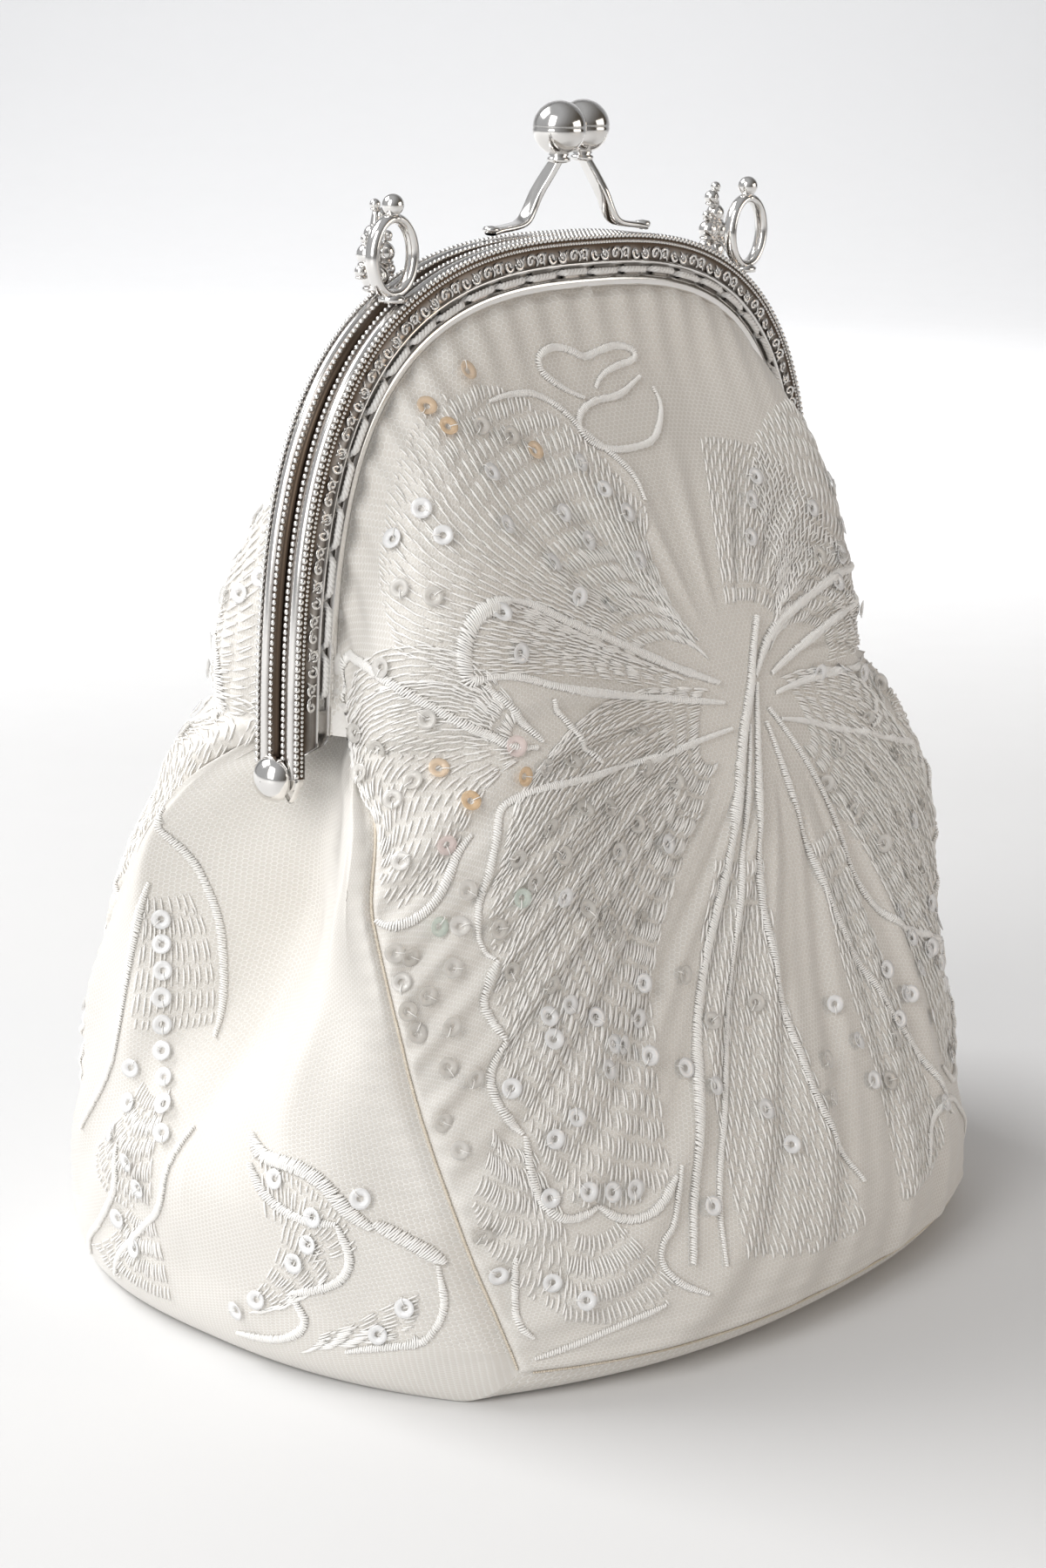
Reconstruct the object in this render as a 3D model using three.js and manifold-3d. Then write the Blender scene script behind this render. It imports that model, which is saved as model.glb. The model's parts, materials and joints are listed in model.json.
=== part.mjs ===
// Kiss-lock evening bag: an arched metal frame in two hinged halves over a gusseted fabric body.
// Millimetres, +Z up, X along the frame's width, the front half at -Y, the bag stands on Z = 0.
import * as THREE from 'three';
import { mergeVertices } from 'three/addons/utils/BufferGeometryUtils.js';
import Module from 'manifold-3d';

const wasm = await Module();
wasm.setup();

// Frame arch: a superellipse seen from the front, measured on its outer rim.
const HINGE_Z = 84;
const ARCH_HALF_WIDTH = 62.5;
const ARCH_RISE = 75.4;
const ARCH_POWER_X = 2.75;
const ARCH_POWER_Z = 3.26;
const ARCH_STEPS = 64;
const MATE_GAP = 0.15;
const FRAME_DEPTH = 4.4;
const RIM_THICKNESS = 1;
const FLANGE_WIDTH = 8.2;
const FLANGE_THICKNESS = 0.7;
const FLANGE_END_Z = 90.5;

// Sewing holes and the thread that runs through them.
const STITCH_PITCH = 7.5;
const STITCH_LINE = 5.6;
const SLOT_LENGTH = 2.8;
const SLOT_WIDTH = 1.6;
const THREAD_RADIUS = 0.35;
const CLEARANCE = 0.3;

// Leg hinge: a lug fixed inside each leg, two lugs on a shouldered rivet.
const LUG_RADIUS = 2.6;
const LUG_THICKNESS = 0.9;
const LUG_TOP_Z = 91;
const LUG_SEAT_Y = 3.4;
const FRONT_LUG_X = 60.3;
const REAR_LUG_X = 59.1;
const RIVET_RADIUS = 1.1;
const RIVET_HOLE_RADIUS = 1.4;
const DOME_RADIUS = 3.4;
const DOME_HEIGHT = 2.6;
const PEEN_RADIUS = 2;
const PEEN_HEIGHT = 1;

// Kiss-lock clasp.
const BALL_RADIUS = 4.1;
const BALL_X = 4.25;
const BALL_Y = 1.25;
const BALL_Z = 175.2;
const ARM_THICKNESS = 0.9;
const ARM_WIDTH = 2.8;
const FOOT_END_X = 16;
const FOOT_Y = 2.2;

// Chain ears on the shoulders.
const EAR_X = 39;
const EAR_Y = 2.6;
const LOOP_RADIUS = 5.3;
const LOOP_WIRE = 0.75;
const FINIAL_RADIUS = 1.95;
const CREST_BEADS = [[0, 0, 2.1], [1.4, 3.2, 1.7], [-1.6, 3.4, 1.6], [0.4, 6, 1.5], [-0.9, 8.6, 1.2]];

// Fabric body.
const OUTER_THICKNESS = 1;
const LINING_THICKNESS = 0.6;
const LINING_INSET = OUTER_THICKNESS + 0.6;
const PANEL_BOTTOM_Z = 4.5;
const SEAM_GAP = 1.6;
const BASE_HALF_WIDTH = 58;
const PANEL_COLUMNS = 14;
const PANEL_ROWS = 12;
const EDGE_EASE = 0.8;
const GUSSET_STEPS = 26;
const GUSSET_COLUMNS = 8;
const GUSSET_TOP_Z = 79;

// Profiles over height: [z, value] pairs, joined smoothly.
const HALF_DEPTH = [
  [0, 56.5], [4.5, 57.5], [12, 58], [25, 54.5], [50, 45], [76, 36.5], [101, 27.5], [126, 16.5], [140, 8.5], [152, 4.4],
];
const SEAM_HALF_WIDTH = [[0, 57.5], [4.5, 58], [25, 63], [50, 66.5], [68, 66.5], [79, 62], [90, 53.8]];
const FACE_ROUND = [[0, 3], [20, 3.2], [60, 5], [86, 8], [104, 14], [126, 14], [150, 6]];
const SEAM_HALF_DEPTH = [[0, 49], [4.5, 47.5], [30, 38.8], [55, 30.3], [70, 24], [80, 17], [90, 7.5], [104, 4]];
const GUSSET_MIDDLE = [[12, 77], [25, 78.5], [40, 74], [55, 65], [68, 58], [80, 54]];

const METAL = { color: 0xd6d3cd, roughness: 0.18, metalness: 1 };
const SATIN = { color: 0xf1ece3, roughness: 0.55, metalness: 0 };
const LINING = { color: 0xe9e3d8, roughness: 0.6, metalness: 0 };
const THREAD = { color: 0xf5f2ec, roughness: 0.7, metalness: 0 };

const bag = new THREE.Group();

function addPiece(name, geometry, look) {
  const mesh = new THREE.Mesh(geometry, new THREE.MeshStandardMaterial(look));
  mesh.name = name;
  bag.add(mesh);
}

// Piecewise monotone interpolation of a [z, value] profile.
function profile(table, z) {
  const last = table.length - 1;
  if (z <= table[0][0]) {
    return table[0][1];
  }
  if (z >= table[last][0]) {
    return table[last][1];
  }
  let i = 0;
  while (z > table[i + 1][0]) {
    i += 1;
  }
  const slope = (k) => (table[k + 1][1] - table[k][1]) / (table[k + 1][0] - table[k][0]);
  const tangent = (k) => {
    if (k === 0) {
      return slope(0);
    }
    if (k === last) {
      return slope(last - 1);
    }
    const before = slope(k - 1);
    const after = slope(k);
    return before * after <= 0 ? 0 : (2 * before * after) / (before + after);
  };
  const h = table[i + 1][0] - table[i][0];
  const t = (z - table[i][0]) / h;
  const t2 = t * t;
  const t3 = t2 * t;
  return (2 * t3 - 3 * t2 + 1) * table[i][1] + (t3 - 2 * t2 + t) * h * tangent(i)
    + (3 * t2 - 2 * t3) * table[i + 1][1] + (t3 - t2) * h * tangent(i + 1);
}

function signedVolume(geometry) {
  const p = geometry.getAttribute('position');
  const index = geometry.getIndex();
  const a = new THREE.Vector3();
  const b = new THREE.Vector3();
  const c = new THREE.Vector3();
  let sum = 0;
  for (let i = 0; i < index.count; i += 3) {
    a.fromBufferAttribute(p, index.getX(i));
    b.fromBufferAttribute(p, index.getX(i + 1));
    c.fromBufferAttribute(p, index.getX(i + 2));
    sum += a.dot(b.cross(c)) / 6;
  }
  return sum;
}

function closedGeometry(points, faces) {
  const geometry = new THREE.BufferGeometry().setFromPoints(points);
  geometry.setIndex(faces.flat());
  if (signedVolume(geometry) < 0) {
    geometry.setIndex(faces.flatMap(([a, b, c]) => [a, c, b]));
  }
  return geometry;
}

// A solid through rings of points that all have the same count, with flat ends.
function loft(rings) {
  const count = rings[0].length;
  const faces = [];
  for (let i = 0; i + 1 < rings.length; i += 1) {
    for (let k = 0; k < count; k += 1) {
      const next = (k + 1) % count;
      const a = i * count + k;
      const b = i * count + next;
      faces.push([a, b, b + count], [a, b + count, a + count]);
    }
  }
  const end = (rings.length - 1) * count;
  for (let k = 1; k + 1 < count; k += 1) {
    faces.push([0, k + 1, k], [end, end + k, end + k + 1]);
  }
  return closedGeometry(rings.flat(), faces);
}

// Finer steps towards both ends of a sheet's edge.
function eased(t) {
  return t + ((1 - Math.cos(Math.PI * t)) / 2 - t) * EDGE_EASE;
}

// A thin closed sheet: surface(u, v) is its outer face, from depth to depth + thickness below it.
// A sheet inside another has the same cells and leaves out trim of them along each edge.
function sheet(surface, cellsAcross, cellsUp, depth, thickness, trim = 0) {
  const step = 1e-3;
  const columns = cellsAcross - 2 * trim;
  const rows = cellsUp - 2 * trim;
  const layer = (offset) => {
    const points = [];
    for (let j = 0; j <= rows; j += 1) {
      for (let i = 0; i <= columns; i += 1) {
        const u = eased((i + trim) / cellsAcross);
        const v = eased((j + trim) / cellsUp);
        const du = surface(Math.min(u + step, 1), v).sub(surface(Math.max(u - step, 0), v));
        const dv = surface(u, Math.min(v + step, 1)).sub(surface(u, Math.max(v - step, 0)));
        const normal = du.cross(dv).normalize();
        points.push(surface(u, v).addScaledVector(normal, -offset));
      }
    }
    return points;
  };
  const outer = layer(depth);
  const inner = layer(depth + thickness);
  const wide = columns + 1;
  const below = outer.length;
  const faces = [];
  for (let j = 0; j < rows; j += 1) {
    for (let i = 0; i < columns; i += 1) {
      const a = j * wide + i;
      const b = a + wide;
      faces.push([a, a + 1, b + 1], [a, b + 1, b]);
      faces.push([below + a, below + b + 1, below + a + 1], [below + a, below + b, below + b + 1]);
    }
  }
  const border = [];
  for (let i = 0; i < columns; i += 1) {
    border.push(i);
  }
  for (let j = 0; j < rows; j += 1) {
    border.push(j * wide + columns);
  }
  for (let i = columns; i > 0; i -= 1) {
    border.push(rows * wide + i);
  }
  for (let j = rows; j > 0; j -= 1) {
    border.push(j * wide);
  }
  border.forEach((a, k) => {
    const b = border[(k + 1) % border.length];
    faces.push([a, below + a, below + b], [a, below + b, b]);
  });
  return closedGeometry([...outer, ...inner], faces);
}

function toManifold(source) {
  const geometry = source.clone();
  geometry.deleteAttribute('normal');
  geometry.deleteAttribute('uv');
  const merged = mergeVertices(geometry, 1e-5);
  const vertProperties = new Float32Array(merged.getAttribute('position').array);
  const triVerts = new Uint32Array(merged.getIndex().array);
  return new wasm.Manifold(new wasm.Mesh({ numProp: 3, vertProperties, triVerts }));
}

function fromManifold(solid) {
  const { vertProperties, triVerts } = solid.getMesh();
  const geometry = new THREE.BufferGeometry();
  geometry.setAttribute('position', new THREE.BufferAttribute(new Float32Array(vertProperties), 3));
  geometry.setIndex(Array.from(triVerts));
  return geometry;
}

function joinAll(geometries) {
  return geometries.map(toManifold).reduce((sum, next) => sum.add(next));
}

// What is left of a piece outside other solids, without any loose crumbs.
function clearOf(piece, keepOut) {
  const rest = keepOut.reduce((left, solid) => left.subtract(toManifold(solid)), toManifold(piece));
  const bodies = rest.decompose();
  return fromManifold(bodies.reduce((best, next) => (next.volume() > best.volume() ? next : best)));
}

// Cylinder along X from one x to another.
function rodAlongX(radius, fromX, toX, z, sides) {
  const geometry = new THREE.CylinderGeometry(radius, radius, toX - fromX, sides);
  geometry.rotateZ(Math.PI / 2);
  return geometry.translate((fromX + toX) / 2, 0, z);
}

function block(x0, x1, y0, y1, z0, z1) {
  const geometry = new THREE.BoxGeometry(x1 - x0, y1 - y0, z1 - z0);
  return geometry.translate((x0 + x1) / 2, (y0 + y1) / 2, (z0 + z1) / 2);
}

// Arch stations at even arc length: point on the outer rim and the inward normal.
function archPoint(angle) {
  const c = Math.cos(angle);
  const s = Math.sin(angle);
  const x = -ARCH_HALF_WIDTH * Math.sign(c) * Math.abs(c) ** (2 / ARCH_POWER_X);
  return new THREE.Vector2(x, HINGE_Z + ARCH_RISE * Math.abs(s) ** (2 / ARCH_POWER_Z));
}

const ARCH_FINE = 4000;
const archFine = Array.from({ length: ARCH_FINE + 1 }, (_, i) => archPoint((Math.PI * i) / ARCH_FINE));
const archLength = [0];
for (let i = 1; i <= ARCH_FINE; i += 1) {
  archLength.push(archLength[i - 1] + archFine[i].distanceTo(archFine[i - 1]));
}
const ARCH_TOTAL = archLength[ARCH_FINE];

function archAt(distance) {
  let low = 0;
  let high = ARCH_FINE;
  while (high - low > 1) {
    const middle = (low + high) >> 1;
    if (archLength[middle] <= distance) {
      low = middle;
    } else {
      high = middle;
    }
  }
  const t = (distance - archLength[low]) / (archLength[high] - archLength[low]);
  const point = archFine[low].clone().lerp(archFine[high], t);
  const ahead = archFine[Math.min(low + 12, ARCH_FINE)];
  const behind = archFine[Math.max(low - 12, 0)];
  const along = ahead.clone().sub(behind).normalize();
  return { point, inward: new THREE.Vector2(along.y, -along.x) };
}

// A point at a depth inside the outer rim and a distance y from the mating plane.
function framePoint(distance, inside, y) {
  const { point, inward } = archAt(distance);
  return new THREE.Vector3(point.x + inward.x * inside, y, point.y + inward.y * inside);
}

function archDistanceAtHeight(z) {
  const i = archFine.findIndex((p) => p.y >= z);
  return archLength[i];
}

function archBar(from, to, steps, inside0, inside1, y0, y1) {
  const rings = [];
  for (let i = 0; i <= steps; i += 1) {
    const d = from + ((to - from) * i) / steps;
    const corners = [[inside0, y0], [inside1, y0], [inside1, y1], [inside0, y1]];
    rings.push(corners.map(([inside, y]) => framePoint(d, inside, y)));
  }
  return loft(rings);
}

const FLANGE_START = archDistanceAtHeight(FLANGE_END_Z);
const STITCH_COUNT = Math.floor((ARCH_TOTAL - 2 * FLANGE_START - STITCH_PITCH) / STITCH_PITCH);
const STITCH_START = (ARCH_TOTAL - STITCH_COUNT * STITCH_PITCH) / 2;

function slotCutter(distance, side) {
  const half = SLOT_LENGTH / 2;
  const inside0 = STITCH_LINE - SLOT_WIDTH / 2;
  const inside1 = STITCH_LINE + SLOT_WIDTH / 2;
  const y0 = side * (FRAME_DEPTH - FLANGE_THICKNESS - 1);
  const y1 = side * (FRAME_DEPTH + 1);
  return archBar(distance - half, distance + half, 1, inside0, inside1, y0, y1);
}

// Each lug sits in its own layer along X, so that two lie side by side on the rivet.
function hingeLug(end, side, lugX) {
  const inner = end * lugX;
  const outer = end * (lugX + LUG_THICKNESS);
  const x0 = Math.min(inner, outer);
  const x1 = Math.max(inner, outer);
  const y0 = Math.min(side * 2 * MATE_GAP, side * LUG_SEAT_Y);
  const y1 = Math.max(side * 2 * MATE_GAP, side * LUG_SEAT_Y);
  const disc = rodAlongX(LUG_RADIUS, x0, x1, HINGE_Z, 24);
  const plate = block(x0, x1, y0, y1, HINGE_Z, LUG_TOP_Z);
  const reach = ARCH_HALF_WIDTH + 1;
  const bore = rodAlongX(RIVET_HOLE_RADIUS, -reach, reach, HINGE_Z, 24);
  return fromManifold(joinAll([disc, plate]).subtract(toManifold(bore)));
}

// side is -1 for the front half and +1 for the rear half.
function frameHalf(side) {
  const mate = side * MATE_GAP;
  const face = side * FRAME_DEPTH;
  const back = side * (FRAME_DEPTH - FLANGE_THICKNESS);
  const rim = archBar(0, ARCH_TOTAL, ARCH_STEPS, 0, RIM_THICKNESS, mate, face);
  const flangeEnd = ARCH_TOTAL - FLANGE_START;
  const flange = archBar(FLANGE_START, flangeEnd, ARCH_STEPS, RIM_THICKNESS / 2, FLANGE_WIDTH, back, face);
  let solid = joinAll([rim, flange]);
  for (let i = 0; i <= STITCH_COUNT; i += 1) {
    solid = solid.subtract(toManifold(slotCutter(STITCH_START + i * STITCH_PITCH, side)));
  }
  const reach = ARCH_HALF_WIDTH + 1;
  const bore = toManifold(rodAlongX(RIVET_HOLE_RADIUS, -reach, reach, HINGE_Z, 24));
  return fromManifold(solid.subtract(bore));
}

// Running stitch: long on the face, dipping behind the flange at each hole.
function sewingThread(side) {
  const outside = side * (FRAME_DEPTH + CLEARANCE + THREAD_RADIUS);
  const behind = side * (FRAME_DEPTH - FLANGE_THICKNESS - CLEARANCE - THREAD_RADIUS);
  const shoulder = SLOT_LENGTH * 0.38;
  const rings = [];
  const addRing = (distance, y) => {
    const r = THREAD_RADIUS;
    const corners = [[-r, 0], [0, -r], [r, 0], [0, r]];
    rings.push(corners.map(([a, b]) => framePoint(distance, STITCH_LINE + a, y + b)));
  };
  for (let i = 0; i <= STITCH_COUNT; i += 1) {
    const d = STITCH_START + i * STITCH_PITCH;
    if (i > 0) {
      addRing(d - shoulder, outside);
    }
    addRing(d, behind);
    if (i < STITCH_COUNT) {
      addRing(d + shoulder, outside);
    }
  }
  return loft(rings);
}

// Shank, domed head outside and a small peened head inside.
function hingeRivet(end) {
  const headX = ARCH_HALF_WIDTH + CLEARANCE;
  const peenX = REAR_LUG_X - CLEARANCE;
  const outline = [[0, peenX - PEEN_HEIGHT], [PEEN_RADIUS * 0.8, peenX - PEEN_HEIGHT]];
  outline.push([PEEN_RADIUS, peenX - PEEN_HEIGHT * 0.6], [PEEN_RADIUS, peenX]);
  outline.push([RIVET_RADIUS, peenX], [RIVET_RADIUS, headX], [DOME_RADIUS, headX]);
  const arcSteps = 4;
  for (let i = 1; i <= arcSteps; i += 1) {
    const angle = (Math.PI / 2) * (i / arcSteps);
    const radius = i === arcSteps ? 0 : DOME_RADIUS * Math.cos(angle);
    outline.push([radius, headX + DOME_HEIGHT * Math.sin(angle)]);
  }
  const points = outline.map(([r, x]) => new THREE.Vector2(r, x));
  const geometry = new THREE.LatheGeometry(points, 16);
  geometry.rotateZ(end < 0 ? Math.PI / 2 : -Math.PI / 2);
  return fromManifold(toManifold(geometry.translate(0, 0, HINGE_Z)));
}

// A flat strip through [x, y, z] stations: foot on the rim, then up and across to its ball.
function claspArm(side) {
  const footZ = HINGE_Z + ARCH_RISE + CLEARANCE + ARM_THICKNESS / 2;
  const stations = [
    [FOOT_END_X, FOOT_Y, footZ - 0.55], [10, FOOT_Y, footZ], [8, FOOT_Y, footZ + 0.6], [6.6, FOOT_Y, footZ + 2.4],
    [5.6, FOOT_Y * 0.6, footZ + 5], [5, FOOT_Y * 0.1, footZ + 8], [BALL_X, -BALL_Y, BALL_Z - BALL_RADIUS - CLEARANCE * 1.3],
  ];
  const path = stations.map(([x, y, z]) => new THREE.Vector3(-side * x, side * y, z));
  const rings = path.map((p, i) => {
    const ahead = path[Math.min(i + 1, path.length - 1)];
    const behind = path[Math.max(i - 1, 0)];
    const along = ahead.clone().sub(behind).setY(0).normalize();
    const across = new THREE.Vector3(-along.z, 0, along.x).multiplyScalar(ARM_THICKNESS / 2);
    const width = new THREE.Vector3(0, ARM_WIDTH / 2, 0);
    const corner = (a, b) => p.clone().addScaledVector(across, a).addScaledVector(width, b);
    return [corner(1, 1), corner(1, -1), corner(-1, -1), corner(-1, 1)];
  });
  return loft(rings);
}

function claspBall(side) {
  const geometry = new THREE.SphereGeometry(BALL_RADIUS, 16, 10);
  geometry.rotateX(Math.PI / 2);
  return fromManifold(toManifold(geometry.translate(-side * BALL_X, -side * BALL_Y, BALL_Z)));
}

// Distance along the arch at which the rim is at x.
function archDistanceAt(x) {
  return archLength[archFine.findIndex((q) => q.x >= x)];
}

// A point out from the rim, square to it, for what stands on the shoulder.
function shoulderPoint(end, out, y) {
  const distance = end < 0 ? archDistanceAt(-EAR_X) : ARCH_TOTAL - archDistanceAt(-EAR_X);
  return framePoint(distance, -out, y);
}

// Upright cast loop with a ball finial, standing on the front half's shoulder.
function earLoop(end) {
  const centre = shoulderPoint(end, LOOP_RADIUS + LOOP_WIRE + CLEARANCE, -EAR_Y);
  const loop = new THREE.TorusGeometry(LOOP_RADIUS, LOOP_WIRE, 6, 20);
  loop.rotateX(Math.PI / 2);
  loop.translate(centre.x, centre.y, centre.z);
  const finial = new THREE.SphereGeometry(FINIAL_RADIUS, 10, 6);
  finial.rotateX(Math.PI / 2);
  finial.translate(centre.x, centre.y, centre.z + LOOP_RADIUS + FINIAL_RADIUS * 0.6);
  return fromManifold(joinAll([loop, finial]));
}

// Beaded crest behind the loop: a cluster of small balls on a short spine.
function earCrest(end) {
  const base = shoulderPoint(end, CREST_BEADS[0][2] + CLEARANCE, EAR_Y);
  const balls = CREST_BEADS.map(([dx, dz, radius]) => {
    const ball = new THREE.SphereGeometry(radius, 8, 6);
    ball.rotateX(Math.PI / 2);
    return ball.translate(base.x + end * dx, base.y, base.z + dz);
  });
  const spine = new THREE.CylinderGeometry(0.7, 1.1, 9, 8);
  spine.rotateX(Math.PI / 2);
  spine.translate(base.x, base.y, base.z + 5);
  return fromManifold(joinAll([spine, ...balls]));
}

// Height profile of the mouth opening's half width, just inside the sewing flange.
const MOUTH_INSIDE = FLANGE_WIDTH + CLEARANCE * 2.5;
const MOUTH_START = archDistanceAtHeight(FLANGE_END_Z - 0.6);
const mouthFine = Array.from({ length: 401 }, (_, i) => {
  const d = MOUTH_START + ((ARCH_TOTAL / 2 - MOUTH_START) * i) / 400;
  return framePoint(d, MOUTH_INSIDE, 0);
});
const MOUTH_TOP_Z = mouthFine[400].z;

function mouthHalfWidth(z) {
  const p = mouthFine.find((q) => q.z >= z);
  return p ? Math.abs(p.x) : 0;
}

function seamHalfWidth(z) {
  return profile(SEAM_HALF_WIDTH, z);
}

// Half depth of the front or rear face at a point, round from edge to edge.
function faceDepth(x, z) {
  const low = z < 90;
  const width = low ? seamHalfWidth(z) : mouthHalfWidth(z);
  const edge = profile(SEAM_HALF_DEPTH, z);
  const share = Math.min(Math.abs(x) / Math.max(width, 1), 1);
  const round = 1 - share ** profile(FACE_ROUND, z);
  return edge + (Math.max(profile(HALF_DEPTH, z), edge) - edge) * round;
}

// Front or rear face: bottom edge to the frame's arch, between the two side seams.
function facePanel(side, inset) {
  const topStart = MOUTH_START + inset;
  const topSpan = ARCH_TOTAL - 2 * topStart;
  return (u, v) => {
    const s = side * (1 - 2 * u);
    const top = framePoint(topStart + (topSpan * (s + 1)) / 2, MOUTH_INSIDE + inset * 0.2, 0);
    const bottomZ = PANEL_BOTTOM_Z + inset;
    const bottomX = s * (BASE_HALF_WIDTH - inset);
    const z = bottomZ + (top.z - bottomZ) * v;
    const straight = bottomX + (top.x - bottomX) * v;
    const edgeTop = mouthFine[0];
    const climb = Math.min((z - bottomZ) / (edgeTop.z - bottomZ), 1);
    const edgeStraight = BASE_HALF_WIDTH - inset + (Math.abs(edgeTop.x) - BASE_HALF_WIDTH + inset) * climb;
    const edge = seamHalfWidth(Math.min(z, edgeTop.z)) - inset * (1 - climb ** 12);
    const spread = climb < 1 ? edge / edgeStraight : 1;
    const x = straight * (1 + (spread - 1) * Math.abs(s) ** 1.5);
    return new THREE.Vector3(x, side * faceDepth(x, z), z);
  };
}

// The gusset's stations down one side, round the corner and over half of the base.
function gussetStation(t) {
  const sideEnd = 0.56;
  const cornerEnd = 0.74;
  const lowZ = 12;
  if (t < sideEnd) {
    const k = t / sideEnd;
    const z = GUSSET_TOP_Z + (PANEL_BOTTOM_Z + 3 - GUSSET_TOP_Z) * k;
    const midZ = GUSSET_TOP_Z + (lowZ - GUSSET_TOP_Z) * k;
    const edge = new THREE.Vector3(seamHalfWidth(z), profile(SEAM_HALF_DEPTH, z), z);
    return { edge, middle: new THREE.Vector3(profile(GUSSET_MIDDLE, midZ), 0, midZ) };
  }
  const lowX = profile(GUSSET_MIDDLE, lowZ);
  const turnX = 71;
  if (t < cornerEnd) {
    const k = (t - sideEnd) / (cornerEnd - sideEnd);
    const angle = (k * Math.PI) / 2;
    const z = PANEL_BOTTOM_Z + 3 * (1 - k);
    const edge = new THREE.Vector3(seamHalfWidth(z) - 2.5 * k, profile(SEAM_HALF_DEPTH, z), z);
    const x = turnX + (lowX - turnX) * Math.cos(angle);
    return { edge, middle: new THREE.Vector3(x, 0, lowZ * (1 - Math.sin(angle))) };
  }
  const k = (t - cornerEnd) / (1 - cornerEnd);
  const edgeX = (seamHalfWidth(PANEL_BOTTOM_Z) - 2.5) * (1 - k);
  const edge = new THREE.Vector3(edgeX, faceDepth(edgeX, PANEL_BOTTOM_Z), PANEL_BOTTOM_Z);
  return { edge, middle: new THREE.Vector3(turnX * (1 - k), 0, 0) };
}

// One strip: down the left side, over the base and up the right side.
function gussetStrip(inset) {
  const flat = 0.84;
  return (u, v) => {
    const end = u < 0.5 ? -1 : 1;
    const start = inset / 150;
    const t = start + (1 - start) * (1 - Math.abs(2 * u - 1));
    const { edge, middle } = gussetStation(t);
    const g = (1 - 2 * v) * (1 - inset / Math.max(edge.y, 12));
    const across = 1 - Math.abs(g) ** 2.6;
    const rise = Math.max((Math.abs(g) - flat) / (1 - flat), 0) ** 2;
    const down = t > 0.74 ? 1 - rise : across + (1 - rise - across) * Math.max((t - 0.56) / 0.18, 0);
    const x = edge.x + (middle.x - edge.x) * across;
    return new THREE.Vector3(end * x, edge.y * g, edge.z + (middle.z - edge.z) * down);
  };
}

addPiece('front_frame', frameHalf(-1), METAL);
addPiece('rear_frame', frameHalf(1), METAL);
addPiece('front_left_hinge_lug', hingeLug(-1, -1, FRONT_LUG_X), METAL);
addPiece('front_right_hinge_lug', hingeLug(1, -1, FRONT_LUG_X), METAL);
addPiece('rear_left_hinge_lug', hingeLug(-1, 1, REAR_LUG_X), METAL);
addPiece('rear_right_hinge_lug', hingeLug(1, 1, REAR_LUG_X), METAL);
addPiece('left_hinge_rivet', hingeRivet(-1), METAL);
addPiece('right_hinge_rivet', hingeRivet(1), METAL);
addPiece('front_sewing_thread', sewingThread(-1), THREAD);
addPiece('rear_sewing_thread', sewingThread(1), THREAD);
addPiece('front_clasp_arm', claspArm(-1), METAL);
addPiece('rear_clasp_arm', claspArm(1), METAL);
addPiece('front_clasp_ball', claspBall(-1), METAL);
addPiece('rear_clasp_ball', claspBall(1), METAL);
addPiece('left_ear_loop', earLoop(-1), METAL);
addPiece('right_ear_loop', earLoop(1), METAL);
addPiece('left_ear_crest', earCrest(-1), METAL);
addPiece('right_ear_crest', earCrest(1), METAL);

for (const [name, side] of [['front', -1], ['rear', 1]]) {
  const face = facePanel(side, SEAM_GAP);
  const outer = sheet(face, PANEL_COLUMNS, PANEL_ROWS, 0, OUTER_THICKNESS);
  const shell = sheet(face, PANEL_COLUMNS, PANEL_ROWS, 0, OUTER_THICKNESS + CLEARANCE);
  const cloth = sheet(face, PANEL_COLUMNS, PANEL_ROWS, LINING_INSET, LINING_THICKNESS, 1);
  const lining = clearOf(cloth, [outer, shell]);
  addPiece(`outer_${name}_panel`, outer, SATIN);
  addPiece(`lining_${name}_panel`, lining, LINING);
}
const strip = gussetStrip(CLEARANCE);
addPiece('outer_gusset', sheet(strip, GUSSET_STEPS, GUSSET_COLUMNS, 0, OUTER_THICKNESS), SATIN);
addPiece('lining_gusset', sheet(strip, GUSSET_STEPS, GUSSET_COLUMNS, LINING_INSET, LINING_THICKNESS, 1), LINING);

export default bag;
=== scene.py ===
import json
import math

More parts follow.
